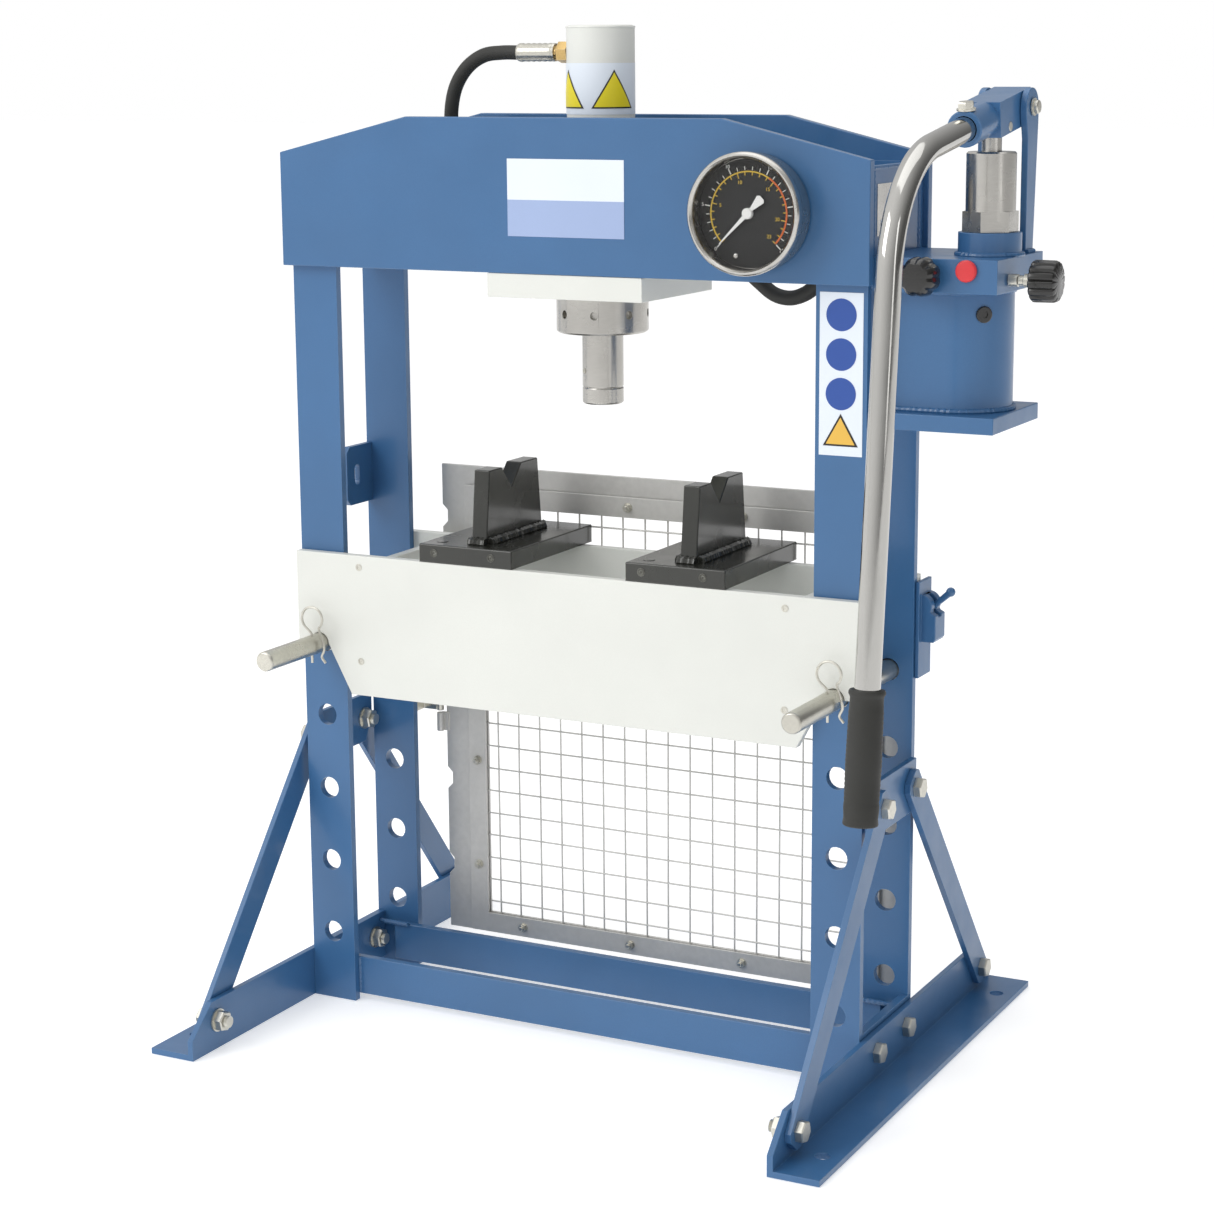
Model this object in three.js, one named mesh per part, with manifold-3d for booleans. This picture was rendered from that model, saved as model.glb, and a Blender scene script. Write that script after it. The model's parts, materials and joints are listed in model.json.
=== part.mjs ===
import * as THREE from 'three';
import { mergeVertices } from 'three/addons/utils/BufferGeometryUtils.js';
import Module from 'manifold-3d';

const wasm = await Module();
wasm.setup();

// Units are millimetres. +Z is up, -Y is the operator's side, +X is the pump side.

// Frame
const GAP = 0.3;
const BEAM_HALF = 310;
const BEAM_BOTTOM = 758;
const BEAM_SHOULDER = 868;
const BEAM_TOP = 903;
const BEAM_FLAT_HALF = 166;
const BEAM_DEPTH_HALF = 77;
const BEAM_PLATE = 10;
const POST_OUTER = 305;
const POST_WIDTH = 50;
const POST_PLATE = 8;
const POST_TOP = 862;
const HOLE_PITCH = 77;
const HOLE_FIRST = 72;
const HOLE_COUNT = 5;
const HOLE_RADIUS = 11;
const PIN_X = 280;
const PIN_Z = HOLE_FIRST + (HOLE_COUNT - 1) * HOLE_PITCH;
const RAIL_HEIGHT = 40;
const RAIL_BOTTOM = 6;
const TIE_TOP = 55;

// Feet and braces
const FOOT_HALF = 280;
const FOOT_LEG = 50;
const ANGLE_WALL = 6;
const FOOT_INNER = POST_OUTER + GAP;
const FOOT_BOLT_Y = 38;
const FOOT_BOLT_Z = 31;
const BRACE_WIDTH = 30;
const BRACE_FOOT_Y = 238;
const BRACE_FOOT_Z = 29;
const BRACE_TOP_Y = 41;
const BRACE_TOP_Z = 272;
const BOLT_HOLE = 6.4;

// Press cylinder, ram and head
const RAM_X = 3;
const RAM_Y = 3;
const CYLINDER_RADIUS = 32.5;
const CYLINDER_TOP = 987;
const NECK_RADIUS = 27;
const RAM_RADIUS = 20;
const RAM_TIP = 629;
const RAM_GROOVE = 645;
const HEAD_BOTTOM = 735;
const RING_BOTTOM = 698;
const RING_RADIUS = 44.5;
const SPANNER_HOLE = 4;
const FITTING_Z = 962;
const HOSE_RADIUS = 7;

// Gauge
const GAUGE_X = 201;
const GAUGE_Z = 820.5;
const GAUGE_FRONT = -110;

// Bed, pins, V-blocks
const BED_TOP = 472.7;
const BED_BOTTOM = 330;
const BED_HALF = 305;
const BED_BOTTOM_HALF = 243;
const PIN_RADIUS = 10;
const PIN_FRONT = -175;
const PIN_REAR = 88;
const CLIP_Y = -91;
const CLIP_WIRE = 1.3;
const VBLOCK_WIDTH = 104;
const VBLOCK_LEFT_X = -108.5;
const VBLOCK_RIGHT_X = 118.5;
const VBLOCK_BASE = 18;
const VBLOCK_REAR = 90;
const VBLOCK_TOP = 563;

// Pump
const PUMP_LEFT = 305.5;
const PUMP_RIGHT = 422;
const PUMP_HALF = 62;
const PUMP_FLOOR = 630;
const PUMP_FLOOR_TOP = 645;
const BLOCK_BOTTOM = 753;
const BLOCK_TOP = 783;
const TANK_RADIUS = 46;
const TANK_ARC_X = 370;
const PLUNGER_X = 394;
const PLUNGER_Y = 0;
const PLUNGER_RADIUS = 8.8;
const PLUNGER_PIN_Z = 895.8;
const COLLAR_TOP = 803.5;
const PUMP_CYLINDER_TOP = 874;
const FULCRUM_Y = 40;
const FULCRUM_Z = 912;
const HANDLE_TILT = THREE.MathUtils.degToRad(8.6);
const PLUNGER_PIN_REACH = -42.5;
const PLUNGER_PIN_DROP = -10;
const LEVER_RADIUS = 11;
const LEVER_START = -70;
const LEVER_CORNER = -277.5;
const LEVER_BEND = 110;
const LEVER_TURN = THREE.MathUtils.degToRad(75.3);
const LEVER_END = 536;
const GRIP_LENGTH = 109;

// Guard
const GUARD_Y = 92;
const GUARD_LEFT = -238;
const GUARD_RIGHT = 290;
const GUARD_BOTTOM = 35;
const GUARD_TOP = 541;
const GUARD_HINGE_X = -243;
const GUARD_HINGE_Y = 93.5;
const GUARD_STRIP = 21;
const GUARD_SIDE = 30;
const WINDOW_LEFT = GUARD_LEFT + GUARD_SIDE + GUARD_STRIP;
const WINDOW_RIGHT = GUARD_RIGHT - GUARD_SIDE - GUARD_STRIP;
const WINDOW_BOTTOM = GUARD_BOTTOM + 23;
const WINDOW_TOP = GUARD_TOP - 41;
const MESH_CELLS = 9;
const MESH_WIRE = 2.4;

const ROUND = 24;

// ---------------------------------------------------------------- helpers

function solid(geometry) {
  const bare = geometry.clone();
  bare.deleteAttribute('normal');
  bare.deleteAttribute('uv');
  const merged = mergeVertices(bare, 1e-4);
  const positions = merged.getAttribute('position').array;
  const triangles = new Uint32Array(merged.getIndex().array);
  if (signedVolume(positions, triangles) < 0) {
    for (let i = 0; i < triangles.length; i += 3) {
      const first = triangles[i];
      triangles[i] = triangles[i + 1];
      triangles[i + 1] = first;
    }
  }
  const mesh = new wasm.Mesh({
    numProp: 3,
    vertProperties: new Float32Array(positions),
    triVerts: triangles,
  });
  return new wasm.Manifold(mesh);
}

function signedVolume(positions, triangles) {
  const a = new THREE.Vector3();
  const b = new THREE.Vector3();
  const c = new THREE.Vector3();
  let sum = 0;
  for (let i = 0; i < triangles.length; i += 3) {
    a.fromArray(positions, triangles[i] * 3);
    b.fromArray(positions, triangles[i + 1] * 3);
    c.fromArray(positions, triangles[i + 2] * 3);
    sum += a.dot(b.cross(c));
  }
  return sum / 6;
}

function surface(manifold) {
  const mesh = manifold.getMesh();
  const geometry = new THREE.BufferGeometry();
  const positions = new THREE.BufferAttribute(new Float32Array(mesh.vertProperties), 3);
  geometry.setAttribute('position', positions);
  geometry.setIndex(new THREE.BufferAttribute(new Uint32Array(mesh.triVerts), 1));
  const flat = geometry.toNonIndexed();
  flat.computeVertexNormals();
  return flat;
}

function outline(points) {
  return new THREE.Shape(points.map(([a, b]) => new THREE.Vector2(a, b)));
}

function addRound(shape, a, b, radius) {
  const hole = new THREE.Path();
  hole.absarc(a, b, radius, 0, Math.PI * 2, true);
  shape.holes.push(hole);
}

function extruded(shape, depth, segments = 8) {
  return new THREE.ExtrudeGeometry(shape, { depth, bevelEnabled: false, curveSegments: segments });
}

// Plate drawn in X and Z, thick along Y.
function plateXZ(shape, yFrom, yTo, segments) {
  const geometry = extruded(shape, yTo - yFrom, segments);
  geometry.rotateX(Math.PI / 2);
  geometry.translate(0, yTo, 0);
  return solid(geometry);
}

// Plate drawn in Y and Z, thick along X.
function plateYZ(shape, xFrom, xTo, segments) {
  const geometry = extruded(shape, xTo - xFrom, segments);
  const turn = new THREE.Matrix4().makeBasis(
    new THREE.Vector3(0, 1, 0),
    new THREE.Vector3(0, 0, 1),
    new THREE.Vector3(1, 0, 0),
  );
  geometry.applyMatrix4(turn);
  geometry.translate(xFrom, 0, 0);
  return solid(geometry);
}

// Plate drawn in X and Y, thick along Z.
function plateXY(shape, zFrom, zTo, segments) {
  const geometry = extruded(shape, zTo - zFrom, segments);
  geometry.translate(0, 0, zFrom);
  return solid(geometry);
}

function box(x0, x1, y0, y1, z0, z1) {
  const geometry = new THREE.BoxGeometry(x1 - x0, y1 - y0, z1 - z0);
  geometry.translate((x0 + x1) / 2, (y0 + y1) / 2, (z0 + z1) / 2);
  return solid(geometry);
}

// Solid of revolution. The profile holds [radius, height] pairs along the chosen axis.
function turned(profile, axis, centre, segments = ROUND) {
  const points = profile.map(([r, h]) => new THREE.Vector2(r, h));
  const geometry = new THREE.LatheGeometry(points, segments);
  if (axis === 'x') geometry.rotateZ(-Math.PI / 2);
  if (axis === 'z') geometry.rotateX(Math.PI / 2);
  geometry.translate(...centre);
  return solid(geometry);
}

function rod(axis, radius, from, to, centre, segments = ROUND) {
  const profile = [[0, from], [radius, from], [radius, to], [0, to]];
  return turned(profile, axis, centre, segments);
}

function tube(points, radius, sides, steps) {
  const path = new THREE.CatmullRomCurve3(points, false, 'centripetal');
  const section = new THREE.Shape();
  for (let i = 0; i < sides; i += 1) {
    const angle = (i / sides) * Math.PI * 2;
    const x = Math.cos(angle) * radius;
    const y = Math.sin(angle) * radius;
    if (i === 0) section.moveTo(x, y);
    else section.lineTo(x, y);
  }
  section.closePath();
  return solid(new THREE.ExtrudeGeometry(section, { steps, extrudePath: path, bevelEnabled: false }));
}

// Mirror image across the YZ plane.
function mirrored(manifold) {
  return manifold.mirror([1, 0, 0]);
}

// ---------------------------------------------------------------- materials

const finish = {
  blue: { color: 0x3f6aa3, roughness: 0.42, metalness: 0.1 },
  white: { color: 0xe9eae4, roughness: 0.5, metalness: 0.05 },
  steel: { color: 0xa3a29d, roughness: 0.32, metalness: 0.9 },
  zinc: { color: 0xb9b8b0, roughness: 0.45, metalness: 0.8 },
  chrome: { color: 0xc4c4c2, roughness: 0.12, metalness: 1 },
  black: { color: 0x2a2b26, roughness: 0.4, metalness: 0.2 },
  plastic: { color: 0x1d1c1a, roughness: 0.35, metalness: 0 },
  rubber: { color: 0x3b3c38, roughness: 0.75, metalness: 0 },
  brass: { color: 0xb39a5a, roughness: 0.35, metalness: 0.9 },
  dial: { color: 0x141414, roughness: 0.6, metalness: 0 },
  needle: { color: 0xf2f2f0, roughness: 0.5, metalness: 0 },
  glass: { color: 0xf4f8f8, roughness: 0.05, metalness: 0 },
  galvanised: { color: 0xbcb9b5, roughness: 0.5, metalness: 0.75 },
};

const press = new THREE.Group();
press.name = 'shop_press';

function place(name, manifold, look) {
  const mesh = new THREE.Mesh(surface(manifold), new THREE.MeshStandardMaterial(finish[look]));
  mesh.name = name;
  press.add(mesh);
}

// ---------------------------------------------------------------- frame

function beamShape() {
  return outline([
    [-BEAM_HALF, BEAM_BOTTOM], [BEAM_HALF, BEAM_BOTTOM], [BEAM_HALF, BEAM_SHOULDER],
    [BEAM_FLAT_HALF, BEAM_TOP], [-BEAM_FLAT_HALF, BEAM_TOP], [-BEAM_HALF, BEAM_SHOULDER],
  ]);
}

const plateInner = BEAM_DEPTH_HALF - BEAM_PLATE;
const postFrontFace = plateInner - GAP;
const postBackFace = postFrontFace - POST_PLATE;
const betweenPosts = postBackFace - GAP;

function buildBeam() {
  place('beam_front_plate', plateXZ(beamShape(), -BEAM_DEPTH_HALF, -plateInner), 'blue');
  place('beam_rear_plate', plateXZ(beamShape(), plateInner, BEAM_DEPTH_HALF), 'blue');
  const end = outline([
    [-betweenPosts, BEAM_BOTTOM], [betweenPosts, BEAM_BOTTOM],
    [betweenPosts, POST_TOP], [-betweenPosts, POST_TOP],
  ]);
  const plain = plateYZ(end, POST_OUTER - POST_PLATE, POST_OUTER);
  place('beam_end_plate_left', mirrored(plain), 'blue');
  const passage = rod('x', HOSE_RADIUS + 4, POST_OUTER - 20, POST_OUTER + 10, [0, -30, 768], 16);
  place('beam_end_plate_right', plain.subtract(passage), 'blue');
}

function buildPosts() {
  const shape = outline([
    [POST_OUTER - POST_WIDTH, 0], [POST_OUTER, 0],
    [POST_OUTER, POST_TOP], [POST_OUTER - POST_WIDTH, POST_TOP],
  ]);
  for (let i = 0; i < HOLE_COUNT; i += 1) {
    addRound(shape, PIN_X, HOLE_FIRST + i * HOLE_PITCH, HOLE_RADIUS);
  }
  const front = plateXZ(shape, -postFrontFace, -postBackFace, 10);
  const rear = plateXZ(shape, postBackFace, postFrontFace, 10);
  place('post_front_right', front, 'blue');
  place('post_rear_right', rear, 'blue');
  place('post_front_left', mirrored(front), 'blue');
  place('post_rear_left', mirrored(rear), 'blue');
}

function buildRails() {
  const top = RAIL_BOTTOM + RAIL_HEIGHT;
  const inner = betweenPosts - POST_PLATE;
  place('rail_front', box(-PIN_X, PIN_X, -betweenPosts, -inner, RAIL_BOTTOM, top), 'blue');
  place('rail_rear', box(-PIN_X, PIN_X, inner, betweenPosts, RAIL_BOTTOM, top), 'blue');
  const shape = outline([
    [-betweenPosts, 4], [betweenPosts, 4], [betweenPosts, TIE_TOP], [-betweenPosts, TIE_TOP],
  ]);
  addRound(shape, -FOOT_BOLT_Y, FOOT_BOLT_Z, BOLT_HOLE);
  addRound(shape, FOOT_BOLT_Y, FOOT_BOLT_Z, BOLT_HOLE);
  const tie = plateYZ(shape, POST_OUTER - POST_PLATE, POST_OUTER);
  place('tie_plate_right', tie, 'blue');
  place('tie_plate_left', mirrored(tie), 'blue');
}

function buildGussets() {
  const half = 56;
  const shape = outline([
    [-43, 246], [43, 246], [half, 270], [half, 297], [-half, 297], [-half, 270],
  ]);
  addRound(shape, -BRACE_TOP_Y, BRACE_TOP_Z, BOLT_HOLE);
  addRound(shape, BRACE_TOP_Y, BRACE_TOP_Z, BOLT_HOLE);
  const gusset = plateYZ(shape, FOOT_INNER, FOOT_INNER + ANGLE_WALL);
  place('gusset_right', gusset, 'blue');
  place('gusset_left', mirrored(gusset), 'blue');
}

// Flat bar with rounded ends between its two bolt holes.
function braceShape(side) {
  const dy = (BRACE_FOOT_Y - BRACE_TOP_Y) * side;
  const dz = BRACE_FOOT_Z - BRACE_TOP_Z;
  const length = Math.hypot(dy, dz);
  const tilt = Math.atan2(dz, dy);
  const half = BRACE_WIDTH / 2;
  const shape = new THREE.Shape();
  const corner = (along, across) => [
    BRACE_TOP_Y * side + along * Math.cos(tilt) - across * Math.sin(tilt),
    BRACE_TOP_Z + along * Math.sin(tilt) + across * Math.cos(tilt),
  ];
  const cut = 6;
  const points = [
    [-15, -half + cut], [-15 + cut, -half], [length + 15 - cut, -half], [length + 15, -half + cut],
    [length + 15, half - cut], [length + 15 - cut, half], [-15 + cut, half], [-15, half - cut],
  ];
  points.forEach(([along, across], i) => {
    const [a, b] = corner(along, across);
    if (i === 0) shape.moveTo(a, b);
    else shape.lineTo(a, b);
  });
  shape.closePath();
  addRound(shape, BRACE_TOP_Y * side, BRACE_TOP_Z, BOLT_HOLE);
  addRound(shape, BRACE_FOOT_Y * side, BRACE_FOOT_Z, BOLT_HOLE);
  return shape;
}

function buildBraces() {
  const inner = FOOT_INNER + ANGLE_WALL + GAP;
  for (const [label, side] of [['front', -1], ['rear', 1]]) {
    const brace = plateYZ(braceShape(side), inner, inner + ANGLE_WALL);
    place(`brace_${label}_right`, brace, 'blue');
    place(`brace_${label}_left`, mirrored(brace), 'blue');
  }
}

function buildFeet() {
  const outer = FOOT_INNER + FOOT_LEG;
  const leg = outline([
    [-FOOT_HALF, 0], [FOOT_HALF, 0], [FOOT_HALF, 20], [FOOT_HALF - 33, FOOT_LEG],
    [-FOOT_HALF + 33, FOOT_LEG], [-FOOT_HALF, 20],
  ]);
  for (const side of [-1, 1]) {
    addRound(leg, side * FOOT_BOLT_Y, FOOT_BOLT_Z, BOLT_HOLE);
    addRound(leg, side * BRACE_FOOT_Y, BRACE_FOOT_Z, BOLT_HOLE);
  }
  const sole = outline([
    [FOOT_INNER, -FOOT_HALF], [outer, -FOOT_HALF], [outer, FOOT_HALF], [FOOT_INNER, FOOT_HALF],
  ]);
  addRound(sole, FOOT_INNER + 32, -230, 7);
  addRound(sole, FOOT_INNER + 32, 230, 7);
  const upright = plateYZ(leg, FOOT_INNER, FOOT_INNER + ANGLE_WALL);
  const foot = upright.add(plateXY(sole, 0, ANGLE_WALL));
  place('foot_right', foot, 'blue');
  place('foot_left', mirrored(foot), 'blue');
}

// Small slotted bracket between the left posts.
function buildSlotBracket() {
  const shape = outline([
    [11, 510], [17, 504], [betweenPosts, 504], [betweenPosts, 565], [17, 565], [11, 559],
  ]);
  const slot = new THREE.Path();
  slot.absarc(30, 529, 4.5, Math.PI, 0, false);
  slot.absarc(30, 541, 4.5, 0, Math.PI, false);
  slot.closePath();
  shape.holes.push(slot);
  place('slot_bracket', plateYZ(shape, -POST_OUTER, -POST_OUTER + 6), 'blue');
}

// ---------------------------------------------------------------- head, cylinder, ram

function buildHead() {
  const bore = NECK_RADIUS + GAP;
  const shape = outline([
    [RAM_X - 82, -76], [RAM_X + 82, -76], [RAM_X + 82, 76], [RAM_X - 82, 76],
  ]);
  addRound(shape, RAM_X, RAM_Y, bore);
  place('head_plate', plateXY(shape, HEAD_BOTTOM, BEAM_BOTTOM - GAP, 12), 'white');

  const axis = [RAM_X, RAM_Y, 0];
  const boreRadius = RAM_RADIUS + 0.5;
  const cylinder = turned([
    [0, CYLINDER_TOP], [CYLINDER_RADIUS - 2, CYLINDER_TOP], [CYLINDER_RADIUS, CYLINDER_TOP - 2],
    [CYLINDER_RADIUS, BEAM_BOTTOM + GAP], [NECK_RADIUS, BEAM_BOTTOM + GAP],
    [NECK_RADIUS, RING_BOTTOM + 2], [boreRadius, RING_BOTTOM + 2], [boreRadius, 965], [0, 965],
  ], 'z', axis, 32);
  place('press_cylinder', cylinder, 'white');

  let ring = turned([
    [bore, RING_BOTTOM], [RING_RADIUS - 2, RING_BOTTOM], [RING_RADIUS, RING_BOTTOM + 2],
    [RING_RADIUS, HEAD_BOTTOM - GAP - 2], [RING_RADIUS - 2, HEAD_BOTTOM - GAP],
    [bore, HEAD_BOTTOM - GAP], [bore, RING_BOTTOM],
  ], 'z', axis, 32);
  for (let i = 0; i < 8; i += 1) {
    const drill = new THREE.CylinderGeometry(SPANNER_HOLE, SPANNER_HOLE, 12, 12);
    drill.translate(0, -RING_RADIUS, 0);
    drill.rotateZ((i * Math.PI) / 4 + 0.3);
    drill.translate(RAM_X, RAM_Y, RING_BOTTOM + 19);
    ring = ring.subtract(solid(drill));
  }
  place('ring_nut', ring, 'steel');
}

function buildRam() {
  const cross = rod('y', 2.6, -40, -12, [RAM_X - 12, RAM_Y, 661], 10);
  const ram = turned([
    [0, RAM_TIP], [RAM_RADIUS - 1.5, RAM_TIP], [RAM_RADIUS, RAM_TIP + 1.5],
    [RAM_RADIUS, RAM_GROOVE - 1], [RAM_RADIUS - 1, RAM_GROOVE], [RAM_RADIUS, RAM_GROOVE + 1],
    [RAM_RADIUS, 943], [0, 943],
  ], 'z', [RAM_X, RAM_Y, 0], 32);
  place('ram', ram.subtract(cross), 'steel');
}

// ---------------------------------------------------------------- hose

function buildHose() {
  const y = RAM_Y;
  const at = (a, b, c) => new THREE.Vector3(a, b, c);
  const route = [
    at(-86, y, FITTING_Z), at(-104, y, FITTING_Z), at(-124, y, 959.5), at(-142, y, 949),
    at(-155, y, 932), at(-161, y, 912), at(-162, y, 890), at(-155, -6, 862),
    at(-132, -26, 836), at(-90, -46, 818), at(-30, -51, 808), at(30, -51, 803),
    at(90, -48, 800), at(132, -40, 791), at(160, -33, 774), at(182, -30, 755),
    at(198, -30, 743.5), at(214, -30, 740.5), at(229, -30, 745), at(243, -30, 755),
    at(258, -30, 764), at(276, -30, 768), at(304, -30, 768),
  ];
  place('pressure_hose', tube(route, HOSE_RADIUS, 8, 48), 'rubber');

  const start = RAM_X - CYLINDER_RADIUS - GAP;
  const nut = new THREE.CylinderGeometry(10.4, 10.4, 12, 6);
  nut.rotateZ(Math.PI / 2);
  nut.translate(start - 6, y, FITTING_Z);
  const profile = [
    [0, -(start - 11)], [7, -(start - 11)], [7, -(start - 14)], [9, -(start - 15)],
    [9, 84], [8, 85.6], [0, 85.6],
  ];
  const ferrule = turned(profile.map(([r, h]) => [r, -h]), 'x', [0, y, FITTING_Z], 16);
  place('hose_fitting', solid(nut).add(ferrule), 'brass');
}

// ---------------------------------------------------------------- gauge

function buildGauge() {
  const centre = [GAUGE_X, 0, GAUGE_Z];
  const back = -BEAM_DEPTH_HALF - GAP;
  place('gauge_case', turned([
    [0, back], [50.5, back], [50.5, GAUGE_FRONT + 12], [55, GAUGE_FRONT + 12],
    [55, GAUGE_FRONT + 3], [52.5, GAUGE_FRONT], [49, GAUGE_FRONT], [49, GAUGE_FRONT + 18],
    [0, GAUGE_FRONT + 18],
  ], 'y', centre, 36), 'steel');
  place('gauge_dial', rod('y', 48.6, GAUGE_FRONT + 16.2, GAUGE_FRONT + 17.7, centre, 36), 'dial');
  place('gauge_glass', rod('y', 48.6, GAUGE_FRONT + 3, GAUGE_FRONT + 5, centre, 36), 'glass');
  const hand = outline([[-2.2, -13], [2.2, -13], [0.5, 37], [-0.5, 37]]);
  const blade = extruded(hand, 1.2);
  blade.rotateX(Math.PI / 2);
  blade.rotateY(THREE.MathUtils.degToRad(-135));
  blade.translate(GAUGE_X, GAUGE_FRONT + 13.4, GAUGE_Z);
  const hub = rod('y', 5, GAUGE_FRONT + 11.4, GAUGE_FRONT + 15.6, centre, 16);
  place('gauge_needle', solid(blade).add(hub), 'needle');
}

// ---------------------------------------------------------------- bed and pins

function bedShape() {
  const seat = PIN_RADIUS + GAP;
  const shape = new THREE.Shape();
  shape.moveTo(-BED_HALF, BED_TOP);
  shape.lineTo(-BED_HALF, PIN_Z);
  shape.lineTo(-PIN_X - seat, PIN_Z);
  shape.absarc(-PIN_X, PIN_Z, seat, Math.PI, 0, true);
  shape.lineTo(-BED_BOTTOM_HALF, BED_BOTTOM);
  shape.lineTo(BED_BOTTOM_HALF, BED_BOTTOM);
  shape.lineTo(PIN_X - seat, PIN_Z);
  shape.absarc(PIN_X, PIN_Z, seat, Math.PI, 0, true);
  shape.lineTo(BED_HALF, PIN_Z);
  shape.lineTo(BED_HALF, BED_TOP);
  shape.closePath();
  return shape;
}

function buildBed() {
  const inner = plateInner + 0.2;
  place('bed_plate_front', plateXZ(bedShape(), -BEAM_DEPTH_HALF, -inner, 10), 'white');
  place('bed_plate_rear', plateXZ(bedShape(), inner, BEAM_DEPTH_HALF, 10), 'white');
  const spacer = box(226, 236, -inner + GAP, inner - GAP, 352, BED_TOP - 11);
  place('bed_spacer_right', spacer, 'white');
  place('bed_spacer_left', mirrored(spacer), 'white');
}

function buildPins() {
  let pin = turned([
    [0, PIN_FRONT], [PIN_RADIUS - 1.5, PIN_FRONT], [PIN_RADIUS, PIN_FRONT + 1.5],
    [PIN_RADIUS, PIN_REAR - 1.5], [PIN_RADIUS - 1.5, PIN_REAR], [0, PIN_REAR],
  ], 'y', [PIN_X, 0, PIN_Z], 20);
  pin = pin.subtract(rod('z', CLIP_WIRE + 0.5, PIN_Z - 20, PIN_Z + 20, [PIN_X, CLIP_Y, 0], 8));
  place('support_pin_right', pin, 'zinc');
  place('support_pin_left', mirrored(pin), 'zinc');

  const at = (a, c) => new THREE.Vector3(PIN_X + a, CLIP_Y, PIN_Z + c);
  const loop = [];
  const ringRadius = 12;
  const ringZ = 27;
  for (let i = 0; i <= 8; i += 1) {
    const angle = THREE.MathUtils.degToRad(230 - (i * 280) / 8);
    loop.push(at(1 + ringRadius * Math.cos(angle), ringZ + ringRadius * Math.sin(angle)));
  }
  const route = [at(0, -18), at(0, -12), at(0, -4), at(0, 4), at(0, 11.5), ...loop,
    at(10.5, 12), at(13.6, 3), at(14.4, -4), at(11.6, -11), at(16, -17)];
  const clip = tube(route, CLIP_WIRE, 6, 34);
  place('r_clip_right', clip, 'zinc');
  place('r_clip_left', clip.translate([-2 * PIN_X, 0, 0]), 'zinc');
}

// ---------------------------------------------------------------- V-blocks

function vBlock(centreX) {
  const half = VBLOCK_WIDTH / 2;
  const floor = BED_TOP + GAP;
  const top = floor + VBLOCK_BASE;
  const base = box(centreX - half, centreX + half, -BEAM_DEPTH_HALF, VBLOCK_REAR, floor, top);
  const notch = -4;
  const upright = plateYZ(outline([
    [-56, top - 1], [57, top - 1], [49, VBLOCK_TOP], [notch + 19, VBLOCK_TOP],
    [notch, VBLOCK_TOP - 21], [notch - 19, VBLOCK_TOP], [-48, VBLOCK_TOP],
  ]), centreX - 4.5, centreX + 12.5);
  const keyY = plateInner - 6;
  const key = box(centreX - 30, centreX + 30, -keyY, -keyY + 10, floor - 8, floor + 1);
  const rearKey = box(centreX - 30, centreX + 30, keyY - 10, keyY, floor - 8, floor + 1);
  return base.add(upright).add(key).add(rearKey);
}

function buildVBlocks() {
  place('v_block_left', vBlock(VBLOCK_LEFT_X), 'black');
  place('v_block_right', vBlock(VBLOCK_RIGHT_X), 'black');
}

// ---------------------------------------------------------------- pump

function buildPumpBody() {
  const rect = (x1, half) => outline([
    [PUMP_LEFT, -half], [x1, -half], [x1, half], [PUMP_LEFT, half],
  ]);
  place('pump_base_plate', plateXY(rect(PUMP_RIGHT, PUMP_HALF), PUMP_FLOOR, PUMP_FLOOR_TOP), 'blue');

  const tank = new THREE.Shape();
  tank.moveTo(PUMP_LEFT + 1, -TANK_RADIUS);
  tank.lineTo(TANK_ARC_X, -TANK_RADIUS);
  tank.absarc(TANK_ARC_X, 0, TANK_RADIUS, -Math.PI / 2, Math.PI / 2, false);
  tank.lineTo(PUMP_LEFT + 1, TANK_RADIUS);
  tank.closePath();
  place('pump_tank', plateXY(tank, PUMP_FLOOR_TOP + GAP, BLOCK_BOTTOM - GAP, 20), 'blue');

  const block = plateXY(rect(PUMP_RIGHT + 1, PUMP_HALF), BLOCK_BOTTOM, BLOCK_TOP);
  const collar = rod('z', 28.5, BLOCK_TOP - 2, COLLAR_TOP, [PLUNGER_X, PLUNGER_Y, 0], 28);
  place('pump_head_block', block.add(collar), 'blue');
}

function buildPumpCylinder() {
  const hex = new THREE.CylinderGeometry(25.4, 25.4, 18, 6);
  hex.rotateX(Math.PI / 2);
  hex.translate(PLUNGER_X, PLUNGER_Y, COLLAR_TOP + GAP + 9);
  const barrel = turned([
    [0, COLLAR_TOP + 10], [22.4, COLLAR_TOP + 10], [22.4, PUMP_CYLINDER_TOP - 1.5],
    [20.9, PUMP_CYLINDER_TOP], [0, PUMP_CYLINDER_TOP],
  ], 'z', [PLUNGER_X, PLUNGER_Y, 0], 28);
  const bore = rod('z', PLUNGER_RADIUS + 0.5, 812, 900, [PLUNGER_X, PLUNGER_Y, 0], 20);
  place('pump_cylinder', solid(hex).add(barrel).subtract(bore), 'steel');

  const plunger = rod('z', PLUNGER_RADIUS, 816, PLUNGER_PIN_Z + 8.2, [PLUNGER_X, PLUNGER_Y, 0], 20);
  const eye = rod('x', 4.6, 370, 420, [0, PLUNGER_Y - 0.5, PLUNGER_PIN_Z], 12);
  place('pump_plunger', plunger.subtract(eye), 'steel');
}

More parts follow.
